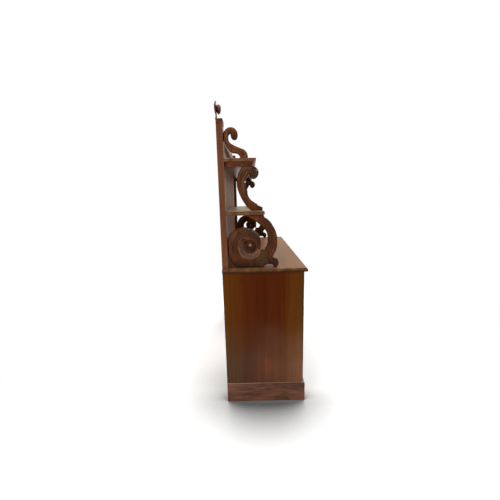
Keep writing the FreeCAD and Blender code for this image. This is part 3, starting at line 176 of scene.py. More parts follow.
# the sky is white to the camera; as light it is dimmer from the dark end of the room behind the camera
world = bpy.data.worlds.new("studio")
world.use_nodes = True
tree = world.node_tree
tree.nodes.clear()
path = addNode(tree, "LightPath")
seen = addNode(tree, "Math", larger, {0: (path, "Is Camera Ray"), 1: (path, "Is Transmission Ray")})
where = addNode(tree, "TexCoord")
direction = addNode(tree, "SeparateXYZ", {}, {0: (where, "Generated")})
low, high = studio["darkReach"]
dim = addNode(tree, "MapRange", {
    "From Min": low, "From Max": high,
    "To Min": studio["darkEnd"] * studio["skyLight"], "To Max": studio["skyLight"],
}, {0: (direction, "X")})
skyLight = addNode(tree, "Background", {"Color": (1, 1, 1, 1)}, {"Strength": (dim, 0)})
skyWhite = addNode(tree, "Background", {"Color": (1, 1, 1, 1), "Strength": 1.0})
skyMix = addNode(tree, "MixShader", {}, {0: (seen, 0), 1: (skyLight, 0), 2: (skyWhite, 0)})
addNode(tree, "OutputWorld", {}, {"Surface": (skyMix, 0)})
scene.world = world

# three large square lamps beside the light of the sky: size in m, power in W
lamps = {
    "overhead": {"place": (1.1, -0.2, 3.4), "aim": (0, 0, 0.6), "size": 2.8, "power": 95},
    "side": {"place": (-2.7, 1.7, 2.0), "aim": (-0.4, 0, 0.8), "size": 1.8, "power": 46},
    "front": {"place": (-0.6, -3.4, 2.2), "aim": (0, 0, 0.8), "size": 2.2, "power": 26},
}
for name, lamp in lamps.items():
    light = bpy.data.lights.new(name, "AREA")
    light.shape = "SQUARE"
    light.size = lamp["size"]
    light.energy = lamp["power"]
    lampObject = bpy.data.objects.new(name, light)
    lampObject.location = lamp["place"]
    beam = Vector(lamp["aim"]) - Vector(lamp["place"])
    lampObject.rotation_euler = beam.to_track_quat("-Z", "Y").to_euler()
    scene.collection.objects.link(lampObject)
scene.view_settings.view_transform = "Standard"
print("floor and light set")

# Woods. Each finish gives its colours, and its widths and lengths in mm. bands: slow changes of colour
# across the grain. lines: the dark and light of the growth rings. pores: short dark flecks along the grain,
# drawn several times their real width so that they show. dust and sheen: how pale an upward face turns, from
# dust lying on it and from a painted sheen.
# The slab and the shelves of the gallery are cut from the same wide board.
wideBoard = {
    "bandWidth": 55, "bandLength": 800, "lineWidth": 7, "lineDepth": 0.24,
    "poreWidth": 1.6, "poreLength": 26, "poreDepth": 0.22, "bump": 0.12,
}
woods = {
    # french polished mahogany, sawn boards: warm red-brown, satin, the pores filled
    "polishedMahogany": {
        "bands": [(0.30, "4A2610"), (0.46, "5E3419"), (0.60, "6B4022"), (0.76, "764A2A")],
        "bandWidth": 60, "bandLength": 900, "lineWidth": 7, "lineDepth": 0.30,
        "poreWidth": 1.6, "poreLength": 24, "poreDepth": 0.28,
        "roughness": 0.38, "shine": 0.18, "bump": 0.15, "dustAndSheenTint": "A78B70", "dustAndSheen": 0.75,
    },
    # french polished veneer on the ends: dark red in the middle, golden towards the edges, satin
    "endVeneer": {
        "bands": [(0.30, "3C1803"), (0.50, "4A1F04"), (0.70, "5C2E0A")],
        "bandWidth": 48, "bandLength": 1200, "lineWidth": 15, "lineDepth": 0.14,
        "poreWidth": 2.4, "poreLength": 60, "poreDepth": 0.10,
        "roughness": 0.32, "shine": 0.04, "bump": 0.05, "dustAndSheenTint": "A78B70", "dustAndSheen": 0.75,
        # colour across the end, from the back edge to the front edge in mm from the middle; the last, darkest
        # stop is a painted shade along the front edge
        "sweep": [
            (238, "3E240A"), (231, "5C3406"), (190, "582D03"), (130, "4E2002"), (60, "481901"),
            (-90, "4C1D02"), (-140, "5E3207"), (-180, "5E3408"), (-200, "5C3408"), (-208, "50300C"),
            (-218, "341C0C"),
        ],
        "sweepShare": 0.75,
        "sweepWander": 0.022,    # m, how far the edges of these colours stray with the grain
        "straightLine": -0.178,  # m, in front of this line, on the front stile, they keep straight
        # the lower part, greyer and paler with a painted reflection of the floor, from one height in m to the
        # other, with a patchy edge
        "paintedLowerLight": {
            "from": 0.58, "to": 0.20, "share": 0.65, "wander": 0.25,
            "tints": [(0.0, "503D2C"), (0.28, "4D372A"), (0.5, "654230"), (0.78, "6C4A38"), (0.9, "7C5840")],
        },
        # a feather of brighter figure: its middle in m, half its width and height in mm, how torn it is
        "feather": {
            "middle": (0, -0.012, 0.230), "size": (42, 72), "tear": 1.6, "tint": "8A4426", "share": 0.26,
        },
    },
    # the plinth, knocked and rubbed: duller, redder patches, its upper edge paler with dust and a painted
    # highlight
    "plinthMahogany": {
        "bands": [(0.30, "4E2B1C"), (0.48, "64402C"), (0.62, "774531"), (0.78, "86513A")],
        "bandWidth": 38, "bandLength": 160, "lineWidth": 6, "lineDepth": 0.30,
        "poreWidth": 1.6, "poreLength": 20, "poreDepth": 0.25,
        "roughness": 0.48, "shine": 0.28, "bump": 0.20, "dustAndSheenTint": "DCC4AC", "dustAndSheen": 0.95,
    },
    # the slab: faded by light and rubbed, its polish gone dull
    "rubbedMahogany": {
        "bands": [(0.30, "4A301C"), (0.48, "5E4026"), (0.62, "6E4C30"), (0.78, "7E5A3A")],
        **wideBoard, "roughness": 0.38, "shine": 0.08, "dustAndSheenTint": "8A5E36", "dustAndSheen": 0.75,
        # the lower half of the nosing, darkened with a painted shade under the slab's edge
        "paintedLowerLight": {"from": 0.822, "to": 0.812, "share": 0.85, "wander": 0.0, "tints": [(0.5, "2E1606")]},
    },
    # shelves of the gallery: the same wood under a bloom of dust, their upper faces waxed and pale with a
    # painted sheen
    "dustAndSheenMahogany": {
        "bands": [(0.30, "4E3220"), (0.48, "644028"), (0.62, "744E34"), (0.78, "865E40")],
        **wideBoard, "roughness": 0.32, "shine": 0.16, "topShine": 0.95, "dustAndSheenTint": "CEB48E", "dustAndSheen": 0.92,
    },
    # carved work: dark polish and dust in the hollows, painted shade in them and along the margins, and
    # painted highlights on the edges
    "carvedMahogany": {
        "bands": [(0.28, "381A0C"), (0.44, "52280F"), (0.60, "663416"), (0.78, "7A4420")],
        "bandWidth": 30, "bandLength": 100, "lineWidth": 5, "lineDepth": 0.28,
        "poreWidth": 1.5, "poreLength": 14, "poreDepth": 0.35,
        "roughness": 0.38, "shine": 0.10, "bump": 0.20, "dustAndSheenTint": "927658", "dustAndSheen": 0.45,
        "shadeAndPolishTint": "1C0F08", "paintedHighlightTint": "A98A68", "goldTint": "542A03", "oliveTint": "4C3B24",
    },
    # back board of the gallery: figured, waxed, streaked along the grain
    "streakedMahogany": {
        "bands": [(0.32, "4C2C18"), (0.46, "70482A"), (0.58, "8A5E3A"), (0.72, "A4764C")],
        "bandWidth": 85, "bandLength": 900, "lineWidth": 14, "lineDepth": 0.28,
        "poreWidth": 1.8, "poreLength": 40, "poreDepth": 0.35,
        "roughness": 0.54, "shine": 0.22, "bump": 0.10, "dustAndSheenTint": "A78B70", "dustAndSheen": 0.3,
    },
    # pine inside the carcase, planed and never polished: pale yellow-brown, dull
    "planedPine": {
        "bands": [(0.30, "6E5030"), (0.50, "80603C"), (0.75, "927048")],
        "bandWidth": 60, "bandLength": 1200, "lineWidth": 8, "lineDepth": 0.20,
        "poreWidth": 2.0, "poreLength": 30, "poreDepth": 0.10,
        "roughness": 0.72, "shine": 0.35, "bump": 0.25, "dustAndSheenTint": "A08E70", "dustAndSheen": 0.3,
    },
}


def woodMaterial(finish, axis):
    wood = woods[finish]
    material, tree = emptyMaterial(finish + "Along" + axis)
    where = addNode(tree, "TexCoord")
    sides = addNode(tree, "SeparateXYZ", {}, {0: (where, "Object")})
    # each board is cut from another place in the log
    board = addNode(tree, "ObjectInfo")
    log = {"operation": "SCALE", 0: (3.1, 5.3, 7.7)}
    shift = addNode(tree, "VectorMath", log, {"Scale": (board, "Random")})
    place = addNode(tree, "VectorMath", {"operation": "ADD"}, {0: (where, "Object"), 1: (shift, 0)})
    # three noises, each drawn out along the grain
    grain = {}
    clouded = {"Detail": 2.5, "Roughness": 0.55, "Distortion": 0.4}
    for part, width, length, look in (
        ("bands", wood["bandWidth"], wood["bandLength"], clouded),
        ("lines", wood["lineWidth"], wood["bandLength"] * 0.6, {"Detail": 4.0, "Roughness": 0.6}),
        ("pores", wood["poreWidth"], wood["poreLength"], {"Detail": 1.0}),
    ):
        scale = [1000 / width] * 3
        scale["XYZ".index(axis)] = 1000 / length
        drawn = addNode(tree, "Mapping", {"Scale": scale}, {"Vector": (place, 0)})
        grain[part] = addNode(tree, "TexNoise", {"Scale": 1.0, **look}, {"Vector": (drawn, 0)})
    bands = (grain["bands"], "Fac")
    tint = setRamp(addNode(tree, "ValToRGB", {}, {0: bands}), wood["bands"]), 0
    if "sweep" in wood:
        # the broad colours, from the back edge to the front edge
        back, front = wood["sweep"][0][0], wood["sweep"][-1][0]
        slow = addNode(tree, "Mapping", {"Scale": (3, 5, 1.6)}, {"Vector": (where, "Object")})
        slow = addNode(tree, "TexNoise", {"Scale": 1.0, "Detail": 3.0}, {"Vector": (slow, 0)})
        most = wood["sweepWander"]
        stray = addNode(tree, "MapRange", {
            "From Min": 0.3, "From Max": 0.7, "To Min": -most, "To Max": most,
        }, {0: (slow, "Fac")})
        strayed = addNode(tree, "Math", {"operation": "ADD"}, {0: (sides, "Y"), 1: (stray, 0)})
        straight = {"operation": "LESS_THAN", 1: wood["straightLine"]}
        straight = addNode(tree, "Math", straight, {0: (sides, "Y")})
        spread = addNode(tree, "Mix", {}, {"Factor": (straight, 0), "A": (strayed, 0), "B": (sides, "Y")})
        ends = {"From Min": back / 1000, "From Max": front / 1000}
        spread = addNode(tree, "MapRange", ends, {0: (spread, 0)})
        stops = [((back - at) / (back - front), hexText) for at, hexText in wood["sweep"]]
        broad = setRamp(addNode(tree, "ValToRGB", {}, {0: (spread, 0)}), stops)
        tint = addNode(tree, "Mix", {"data_type": "RGBA", 0: wood["sweepShare"]}, {6: tint, 7: (broad, 0)}), 2
    # a painted band low on the piece: a reflection of the floor on the ends, a shade under the edge of the
    # slab on its nosing
    if "paintedLowerLight" in wood:
        paintedLowerLight = wood["paintedLowerLight"]
        wander = paintedLowerLight["wander"]
        patchy = addNode(tree, "TexNoise", {"Scale": 7.0, "Detail": 3.0}, {"Vector": (where, "Object")})
        raised = {"operation": "MULTIPLY_ADD", 1: wander}
        height = addNode(tree, "Math", raised, {0: (patchy, "Fac"), 2: (sides, "Z")})
        paintedLowerShare = addNode(tree, "MapRange", {
            **smooth, "To Max": paintedLowerLight["share"],
            "From Min": paintedLowerLight["from"] + wander / 2, "From Max": paintedLowerLight["to"] + wander / 2,
        }, {0: (height, 0)})
        # it has colours of its own, also from the back edge to the front edge
        depth = addNode(tree, "MapRange", {"From Min": 0.24, "From Max": -0.22}, {0: (sides, "Y")})
        greys = setRamp(addNode(tree, "ValToRGB", {}, {0: (depth, 0)}), paintedLowerLight["tints"])
        tint = addNode(tree, "Mix", {"data_type": "RGBA"}, {0: (paintedLowerShare, 0), 6: tint, 7: (greys, 0)}), 2
    if "feather" in wood:
        feather = wood["feather"]
        middle = {"operation": "SUBTRACT", 1: feather["middle"]}
        gap = addNode(tree, "VectorMath", middle, {0: (where, "Object")})
        size = {"operation": "MULTIPLY", 1: (0, 1000 / feather["size"][0], 1000 / feather["size"][1])}
        gap = addNode(tree, "VectorMath", size, {0: (gap, 0)})
        gap = addNode(tree, "VectorMath", {"operation": "LENGTH"}, {0: (gap, 0)})
        torn = addNode(tree, "Mapping", {"Scale": (30, 45, 14)}, {"Vector": (where, "Object")})
        torn = addNode(tree, "TexNoise", {"Scale": 1.0, "Detail": 3.0}, {"Vector": (torn, 0)})
        gap = addNode(tree, "Math", {
            "operation": "MULTIPLY_ADD", 1: feather["tear"],
        }, {0: (torn, "Fac"), 2: (gap, "Value")})
        start = 0.2 + feather["tear"] / 2
        flare = addNode(tree, "MapRange", {
            **smooth, "From Min": start, "From Max": start + 1,
            "To Min": feather["share"], "To Max": 0.0,
        }, {0: (gap, 0)})
        feathered = {"data_type": "RGBA", 7: paint(feather["tint"])}
        tint = addNode(tree, "Mix", feathered, {0: (flare, 0), 6: tint}), 2
    if "shadeAndPolishTint" in wood:
        # the carver's work: the mesh says where it is golden or olive, where it is dark with painted shade
        # and old polish, and where it takes a painted highlight
        for mark, end, most, stain in (
            ("warmth", 1.0, 0.8, "goldTint"), ("warmth", -1.0, 0.8, "oliveTint"),
            ("tone", -1.0, 1.0, "shadeAndPolishTint"), ("tone", 1.0, 0.9, "paintedHighlightTint"),
        ):
            marked = addNode(tree, "Attribute", {"attribute_name": mark})
            much = addNode(tree, "MapRange", {"From Max": end, "To Max": most}, {0: (marked, "Fac")})
            stained = {"data_type": "RGBA", 7: paint(wood[stain])}
            tint = addNode(tree, "Mix", stained, {0: (much, 0), 6: tint}), 2
    lineShade = addNode(tree, "MapRange", {
        "From Min": 0.3, "From Max": 0.7, "To Min": 1 - wood["lineDepth"], "To Max": 1 + wood["lineDepth"],
    }, {0: (grain["lines"], "Fac")})
    poreShade = addNode(tree, "MapRange", {
        "From Min": 0.30, "From Max": 0.46, "To Min": 1 - wood["poreDepth"],
    }, {0: (grain["pores"], "Fac")})
    shade = addNode(tree, "Math", {"operation": "MULTIPLY"}, {0: (lineShade, 0), 1: (poreShade, 0)})
    shaded = addNode(tree, "VectorMath", {"operation": "SCALE"}, {0: tint, "Scale": (shade, 0)})
    # ledges and tops face up: faded by light, with an uneven bloom of wax and dust, and paler still with a
    # painted sheen
    facing = addNode(tree, "NewGeometry")
    upward = addNode(tree, "SeparateXYZ", {}, {0: (facing, "Normal")})
    lying = {**smooth, "From Min": 0.70, "To Max": wood["dustAndSheen"]}
    dustAndSheenShare = addNode(tree, "MapRange", lying, {0: (upward, "Z")})
    patches = {"From Min": 0.35, "From Max": 0.65, "To Min": 0.55}
    uneven = addNode(tree, "MapRange", patches, {0: bands})
    dustAndSheenShare = addNode(tree, "Math", {"operation": "MULTIPLY"}, {0: (dustAndSheenShare, 0), 1: (uneven, 0)})
    dustAndSheenColour = {"data_type": "RGBA", 7: paint(wood["dustAndSheenTint"])}
    colour = addNode(tree, "Mix", dustAndSheenColour, {0: (dustAndSheenShare, 0), 6: (shaded, 0)})
    bump = addNode(tree, "Bump", {"Strength": wood["bump"], "Distance": 0.0004}, {"Height": (poreShade, 0)})
    rough = addNode(tree, "MapRange", {
        "From Min": 0.3, "From Max": 0.7,
        "To Min": wood["roughness"] - 0.06, "To Max": wood["roughness"] + 0.10,
    }, {0: bands})
    surface = {"Base Color": (colour, 2), "Roughness": (rough, 0), "Normal": (bump, 0)}
    if "topShine" in wood:
        # the waxed upper face throws back the light, its edges are dull
        waxed = {"From Min": 0.70, "To Min": wood["shine"], "To Max": wood["topShine"]}
        surface["Specular IOR Level"] = addNode(tree, "MapRange", waxed, {0: (upward, "Z")}), 0
    shader = addNode(tree, "BsdfPrincipled", {"Specular IOR Level": wood["shine"]}, surface)
    addNode(tree, "OutputMaterial", {}, {"Surface": (shader, 0)})
    return material


# Flame veneer: mahogany cut through a fork of the tree. The figure is a row of arched plumes about a
# middle line, light and dark with the turn of the fibres, under a french polish.
flame = {
    "stops": [(0.22, "42200E"), (0.42, "562C14"), (0.60, "6A3A1A"), (0.80, "7E4A24")],
    "plumeWidth": 0.17, "plumeStep": 0.075,    # m
    "middles": {"panel": 0.27, "drawer": 0.0},  # m from the middle of the sideboard, on both sides
    "drawerHeight": 0.74,        # m, the middle line of the drawer's plumes
    "lean": 1.9, "stir": 0.24,   # how steeply the plumes hang, and how far in m a noise moves them
    "roughness": 0.30, "shine": 0.22,
}


def flameMaterial(place, axis):
    material, tree = emptyMaterial("flameVeneer" + place.capitalize() + axis)
    where = addNode(tree, "TexCoord")
    axes = addNode(tree, "SeparateXYZ", {}, {0: (where, "Object")})
    side = addNode(tree, "Math", {"operation": "ABSOLUTE"}, {0: (axes, "X")})
    side = addNode(tree, "Math", {"operation": "SUBTRACT", 1: flame["middles"][place]}, {0: (side, 0)})
    run = (axes, "Z")
    if axis == "X":
        # along a drawer the plumes lie down, and run both ways from its middle
        run = (side, 0)
        middle = {"operation": "SUBTRACT", 1: flame["drawerHeight"]}
        side = addNode(tree, "Math", middle, {0: (axes, "Z")})
    # a plume bends like a hyperbola: the root of the square of the distance to its middle line, plus a bit
    bend = addNode(tree, "Math", {"operation": "POWER", 1: 2.0}, {0: (side, 0)})
    crown = {"operation": "ADD", 1: flame["plumeWidth"] ** 2 / 12}
    bend = addNode(tree, "Math", crown, {0: (bend, 0)})
    bend = addNode(tree, "Math", {"operation": "SQRT"}, {0: (bend, 0)})
    stir = addNode(tree, "Mapping", {"Scale": (9, 9, 5)}, {"Vector": (where, "Object")})
    stir = addNode(tree, "TexNoise", {"Scale": 1.0, "Detail": 4.0, "Roughness": 0.6}, {"Vector": (stir, 0)})
    slow = addNode(tree, "TexNoise", {"Scale": 14.0, "Detail": 3.0}, {"Vector": (where, "Object")})
    hung = {"operation": "MULTIPLY_ADD", 1: -flame["lean"]}
    hung = addNode(tree, "Math", hung, {0: (bend, 0), 2: run})
    stirred = {"operation": "MULTIPLY_ADD", 1: flame["stir"]}
    stirred = addNode(tree, "Math", stirred, {0: (stir, "Fac"), 2: (hung, 0)})
    # light and dark: a wave from plume to plume, a finer one within them, and a slow noise
    figure = addNode(tree, "Math", {"operation": "MULTIPLY_ADD", 1: 0.70, 2: 0.15}, {0: (slow, "Fac")})
    for times, much in ((1.0, 0.10), (5.3, 0.05)):
        pace = {"operation": "MULTIPLY", 1: 2 * math.pi / flame["plumeStep"] * times}
        wave = addNode(tree, "Math", pace, {0: (stirred, 0)})
        wave = addNode(tree, "Math", {"operation": "SINE"}, {0: (wave, 0)})
        added = {"operation": "MULTIPLY_ADD", 1: much}
        figure = addNode(tree, "Math", added, {0: (wave, 0), 2: (figure, 0)})
    tint = setRamp(addNode(tree, "ValToRGB", {}, {0: (figure, 0)}), flame["stops"])
    rough = addNode(tree, "MapRange", {
        "From Min": 0.2, "From Max": 0.8, "To Min": flame["roughness"], "To Max": flame["roughness"] + 0.12,
    }, {0: (figure, 0)})
    shader = addNode(tree, "BsdfPrincipled", {
        "Specular IOR Level": flame["shine"],
    }, {"Base Color": (tint, "Color"), "Roughness": (rough, 0)})
    addNode(tree, "OutputMaterial", {}, {"Surface": (shader, 0)})
    return material


# Metals. clean and dull are the two colours of the surface, spread by stains of stainSize mm;
# scratches run along X, about 0.3 mm wide and drawn at 1 mm.
metals = {
    # cast and filed brass gone brown: yellow where hands rub it, dark in the corners
    "agedBrass": {"clean": "B08A4A", "dull": "5E4424", "stainSize": 9, "roughness": 0.36},
    # wrought iron of the lock, blacked by oil
    "oiledIron": {"clean": "4A4642", "dull": "2C2825", "stainSize": 6, "roughness": 0.52},
    # filed steel, grey with brown spots of old rust
    "filedSteel": {"clean": "8C8884", "dull": "5C5048", "stainSize": 5, "roughness": 0.38},
}


def metalMaterial(finish):
    metal = metals[finish]
    material, tree = emptyMaterial(finish)
    where = addNode(tree, "TexCoord")
    stains = addNode(tree, "TexNoise", {
        "Scale": 1000 / metal["stainSize"], "Detail": 4.0, "Roughness": 0.6,
    }, {"Vector": (where, "Object")})
    stops = [(0.38, metal["dull"]), (0.62, metal["clean"])]
    tint = setRamp(addNode(tree, "ValToRGB", {}, {0: (stains, "Fac")}), stops)
    scratches = addNode(tree, "Mapping", {"Scale": (60, 1000, 1000)}, {"Vector": (where, "Object")})
    scratches = addNode(tree, "TexNoise", {"Scale": 1.0, "Detail": 2.0}, {"Vector": (scratches, 0)})
    rough = addNode(tree, "MapRange", {
        "From Min": 0.3, "From Max": 0.7,
        "To Min": metal["roughness"] + 0.14, "To Max": metal["roughness"] - 0.06,
    }, {0: (stains, "Fac")})
    bump = addNode(tree, "Bump", {"Strength": 0.2, "Distance": 0.0002}, {"Height": (scratches, "Fac")})
    shader = addNode(tree, "BsdfPrincipled", {
        "Metallic": 1.0,
    }, {"Base Color": (tint, "Color"), "Roughness": (rough, 0), "Normal": (bump, 0)})
    addNode(tree, "OutputMaterial", {}, {"Surface": (shader, 0)})
    return material


# which finish each piece has, and the way its grain runs; a star stands for left and right
dressing = {
    ("endVeneer", "Z"): ["side_*", "front_stile_*"],
    ("polishedMahogany", "Z"): ["gallery_post_*", "door_*_stiles"],
    ("polishedMahogany", "X"): [
        "top_front_rail", "drawer_rail", "gallery_top_rail", "door_*_top_rail", "door_*_bottom_rail",
    ],
    ("plinthMahogany", "X"): ["plinth_front"],
    ("plinthMahogany", "Y"): ["plinth_ends"],
    ("rubbedMahogany", "X"): ["top_board"],
    ("dustAndSheenMahogany", "X"): ["gallery_lower_shelf", "gallery_upper_shelf"],
    ("streakedMahogany", "Z"): ["gallery_back_board"],
    ("carvedMahogany", "Z"): [
        "lower_brackets", "middle_brackets", "top_brackets", "finial_leaves", "finial_buds",
        "door_*_moulding",
    ],
    ("carvedMahogany", "X"): ["post_caps", "upper_shelf_apron"],
    ("carvedMahogany", "Y"): ["drawer_knobs"],
    ("planedPine", "X"): [
        "bottom_board", "cupboard_shelf", "door_stop", "plinth_back", "drawer_back", "drawer_bottom",
    ],
    ("planedPine", "Y"): ["shelf_cleats", "drawer_runners", "drawer_kickers", "drawer_sides"],
    ("planedPine", "Z"): ["carcase_back", "plinth_blocks"],
}
flames = {("panel", "Z"): ["door_*_panel"], ("drawer", "X"): ["drawer_front"]}
fittings = {
    "agedBrass": ["case_hinges", "door_*_hinges", "escutcheon", "bolt_case", "lock_keeper"],
    "oiledIron": ["lock_case", "lock_bolt"],
    "filedSteel": ["key", "cupboard_bolt"],
}
finishes = [(woodMaterial(*key), names) for key, names in dressing.items()]
finishes += [(flameMaterial(*key), names) for key, names in flames.items()]
finishes += [(metalMaterial(key), names) for key, names in fittings.items()]
for material, names in finishes:
    for name in names:
        for end in ("left", "right") if "*" in name else ("",):
            node = nodes[name.replace("*", end)]
            node.data.materials.clear()
            node.data.materials.append(material)
print("finishes set, nodes without one:", [name for name, node in nodes.items() if not node.data.materials])

# Scroll brackets: each is a sheet over the grid of reach and height, as thick as its board, with the relief
# of its carving on both faces.


# Points along a closed outline in mm, from rows given in shares of its size: a row of two shares is a
# straight run to that point, one of four an arc through the first point to the second
def outlinePoints(start, rows, size, step=1.5):
    here = np.array(start) * size
    points = [here[None]]
    for row in rows:
        there = np.array(row[-2:]) * size
        if len(row) == 2:
            count = max(1, int(np.ceil(np.linalg.norm(there - here) / step)))
            run = here + (there - here) * np.linspace(0, 1, count + 1)[1:, None]
        else:
            through = np.array(row[:2]) * size
            sides = np.array([through - here, there - here])
            centre = np.linalg.solve(sides, (sides * (sides / 2 + here)).sum(axis=1))
            angles = [math.atan2(*(point - centre)[::-1]) for point in (here, through, there)]
            sweep = (angles[2] - angles[0]) % (2 * math.pi)
            if (angles[1] - angles[0]) % (2 * math.pi) > sweep:
                sweep -= 2 * math.pi
            radius = np.linalg.norm(here - centre)
            count = max(3, int(np.ceil(abs(sweep) * radius / step)))
            along = angles[0] + sweep * np.linspace(0, 1, count + 1)[1:]
            run = centre + radius * np.stack([np.cos(along), np.sin(along)], axis=1)
        points.append(run)
        here = there
    return np.concatenate(points)[:-1]


# Distance from each point to the nearest outline, the nearest place on it, and whether the point lies
# inside: a line to the right of it then crosses the outlines an odd number of times
def outlineField(points, loops):
    starts = np.concatenate(loops)
    ends = np.concatenate([np.roll(loop, -1, axis=0) for loop in loops])
    runs = ends - starts
    lengths = np.maximum((runs ** 2).sum(axis=1), 1e-9)
    rise = np.where(np.abs(runs[:, 1]) < 1e-9, 1e-9, runs[:, 1])
    distance, nearest, inside = [], [], []
    for block in np.array_split(points, max(1, len(points) // 3000)):
        away = block[:, None] - starts[None]
        share = np.clip((away * runs).sum(axis=2) / lengths, 0, 1)
        gap = away - share[..., None] * runs
        square = (gap ** 2).sum(axis=2)
        best = square.argmin(axis=1)
        rows = np.arange(len(block))
        distance.append(np.sqrt(square[rows, best]))
        nearest.append(block - gap[rows, best])
        crosses = (starts[:, 1] > block[:, None, 1]) != (ends[:, 1] > block[:, None, 1])
        meets = starts[:, 0] + (block[:, None, 1] - starts[:, 1]) * runs[:, 0] / rise
        inside.append((crosses & (block[:, None, 0] < meets)).sum(axis=1) % 2 == 1)
    return np.concatenate(distance), np.concatenate(nearest), np.concatenate(inside)


# A carved board, its edges eased by a quarter round of the distance to the outline. carve(across, up,
# distance to the outline, distance to the last loop) gives the relief in mm, the tone from -1, painted shade
# with dark polish in the hollows, to 1, painted highlight, and the warmth from -1, olive, to 1, golden.
def carvedSheet(loops, spacing, thickness, ease, carve):
    low = np.min([loop.min(axis=0) for loop in loops], axis=0) - spacing
    high = np.max([loop.max(axis=0) for loop in loops], axis=0) + spacing
    across = np.arange(low[0], high[0] + spacing, spacing)
    rising = np.arange(low[1], high[1] + spacing, spacing)
    grid = np.stack(np.meshgrid(across, rising, indexing="ij"), axis=2)
    middles = (grid[:-1, :-1] + grid[1:, 1:]) / 2
    kept = outlineField(middles.reshape(-1, 2), loops)[2].reshape(middles.shape[:2])
    number = np.arange(grid.shape[0] * grid.shape[1]).reshape(grid.shape[:2])
    quads = np.stack([number[:-1, :-1], number[1:, :-1], number[1:, 1:], number[:-1, 1:]], axis=2)[kept]
    used, quads = np.unique(quads, return_inverse=True)
    quads = quads.reshape(-1, 4)
    flat = grid.reshape(-1, 2)[used]
    # edges that belong to one cell alone run round the rim; their points are moved onto the outline
    edges = np.concatenate([quads[:, [i, (i + 1) % 4]] for i in range(4)])
    keys = np.sort(edges, axis=1)
    order, counts = np.unique(keys, axis=0, return_inverse=True, return_counts=True)[1:]
    rim = edges[counts[order.reshape(-1)] == 1]
    distance, nearest, inside = outlineField(flat, loops)
    onRim = np.unique(rim)
    flat[onRim] = nearest[onRim]
    distance[~inside] = 0
    distance[onRim] = 0
    bend = np.clip(ease - distance, 0, ease)
    out = thickness / 2 - ease + np.sqrt(ease ** 2 - bend ** 2)
    toHole = outlineField(flat, loops[-1:])[0]
    relief, tone, warmth = carve(flat[:, 0], flat[:, 1], distance, toHole)
    out += np.minimum(relief * np.clip(distance / (2 * ease), 0, 1), thickness / 2 - out)
    points = np.concatenate([np.column_stack([-out, flat]), np.column_stack([out, flat])])
    count = len(flat)
    walls = np.column_stack([rim[:, 0], rim[:, 1], rim[:, 1] + count, rim[:, 0] + count])
    faces = np.concatenate([quads, quads[:, ::-1] + count, walls[:, ::-1]])
    marks = {"tone": tone, "warmth": warmth}
    return points, faces, {key: np.tile(np.clip(values, -1, 1), 2) for key, values in marks.items()}


# Puts points in mm and their faces into a smooth mesh of carved mahogany, in place of a node of the frame
def makePiece(name, node, points, faces, marks):
    mesh = bpy.data.meshes.new(name)
    mesh.from_pydata((points / 1000).tolist(), [], faces)
    for key, values in marks.items():
        mesh.attributes.new(key, "FLOAT", "POINT").data.foreach_set("value", values.astype(np.float32))
    mesh.polygons.foreach_set("use_smooth", np.ones(len(mesh.polygons), dtype=bool))
    mesh.materials.append(bpy.data.materials["carvedMahoganyAlongZ"])
    mesh.validate()
    piece = bpy.data.objects.new(name, mesh)
    scene.collection.objects.link(piece)
    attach(piece, "carcase")
    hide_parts(node)
    print(name, "carved:", len(faces), "faces")


lowerBracket = {
    "reach": 285, "height": 290, "thickness": 36, "ease": 5, "spacing": 1.6,
    "start": (0.165, 0.0),
    "rows": [
        (0.698, 0.0), (0.740, 0.045, 0.818, 0.055), (0.865, 0.048, 0.900, 0.0), (0.935, 0.0),
        (0.990, 0.075, 0.898, 0.179), (0.874, 0.207), (0.942, 0.334, 0.965, 0.524),
        (0.948, 0.655, 0.874, 0.811), (0.803, 0.903, 0.705, 0.965), (0.705, 1.0), (0.328, 1.0),
        (0.551, 0.886, 0.698, 0.760), (0.770, 0.648, 0.780, 0.534), (0.773, 0.431, 0.723, 0.348),
        (0.628, 0.345), (0.647, 0.477, 0.621, 0.607), (0.498, 0.724, 0.312, 0.772),
        (0.095, 0.690, 0.0, 0.500), (0.0, 0.362), (0.048, 0.155, 0.165, 0.0),
    ],
    "holeStart": (0.361, 0.569),
    "holeRows": [
        (0.228, 0.470, 0.250, 0.336), (0.312, 0.221, 0.418, 0.190), (0.556, 0.231, 0.621, 0.331),
        (0.579, 0.366), (0.446, 0.269, 0.310, 0.390), (0.300, 0.490, 0.361, 0.569),
    ],
    "eye": (122, 118),
    # the spiral edge: degrees turned clockwise from straight down, and its distance from the eye in mm
    "spiral": [
        (0, 115), (60, 101), (100, 99), (150, 101), (190, 101), (230, 82), (270, 66), (310, 64), (360, 67),
        (410, 66), (450, 62), (500, 57), (540, 48), (590, 38), (630, 34), (680, 34), (720, 35), (770, 32),
        (810, 29), (860, 25), (900, 22), (960, 18), (1010, 15), (1080, 12), (1170, 8), (1260, 5), (1440, 1),
    ],
    # depths and steps in mm; places are from the eye, but for the foot and the warm spots
    "reedStep": 10.5, "reedDepth": 1.0,  # reeds on the band, drawn half as wide again as they are
    "ringStep": 4.6, "ringDepth": 0.9,   # rings on the button
    "hollowDepth": 1.6,                  # the dished band between its two edges
    "beadDepth": 1.4,                    # the bead round the slot
    "flank": (24, 37, 12),  # the button's side slopes between these distances, by this depth
    "boss": ((4, 9), 7.5, 2.1),  # the boss's painted highlight: place, radius and tone
    "foot": ((250, 26), 26),     # the small curl at the foot: middle and radius
    "shade": 0.66,          # the foot of the volute, in its own shade
    "crest": 0.55,          # the lit line along its top
    # where the polish is golden or olive: place, radius and how much
    "warmSpots": [((20, 165), 26, -0.7), ((140, 205), 34, -0.8), ((190, 40), 38, -0.9), ((18, 90), 14, -0.5)],
    "goldenBand": ((84, 18), (66, 50)),  # distance and turn in degrees, each a middle and a width
}


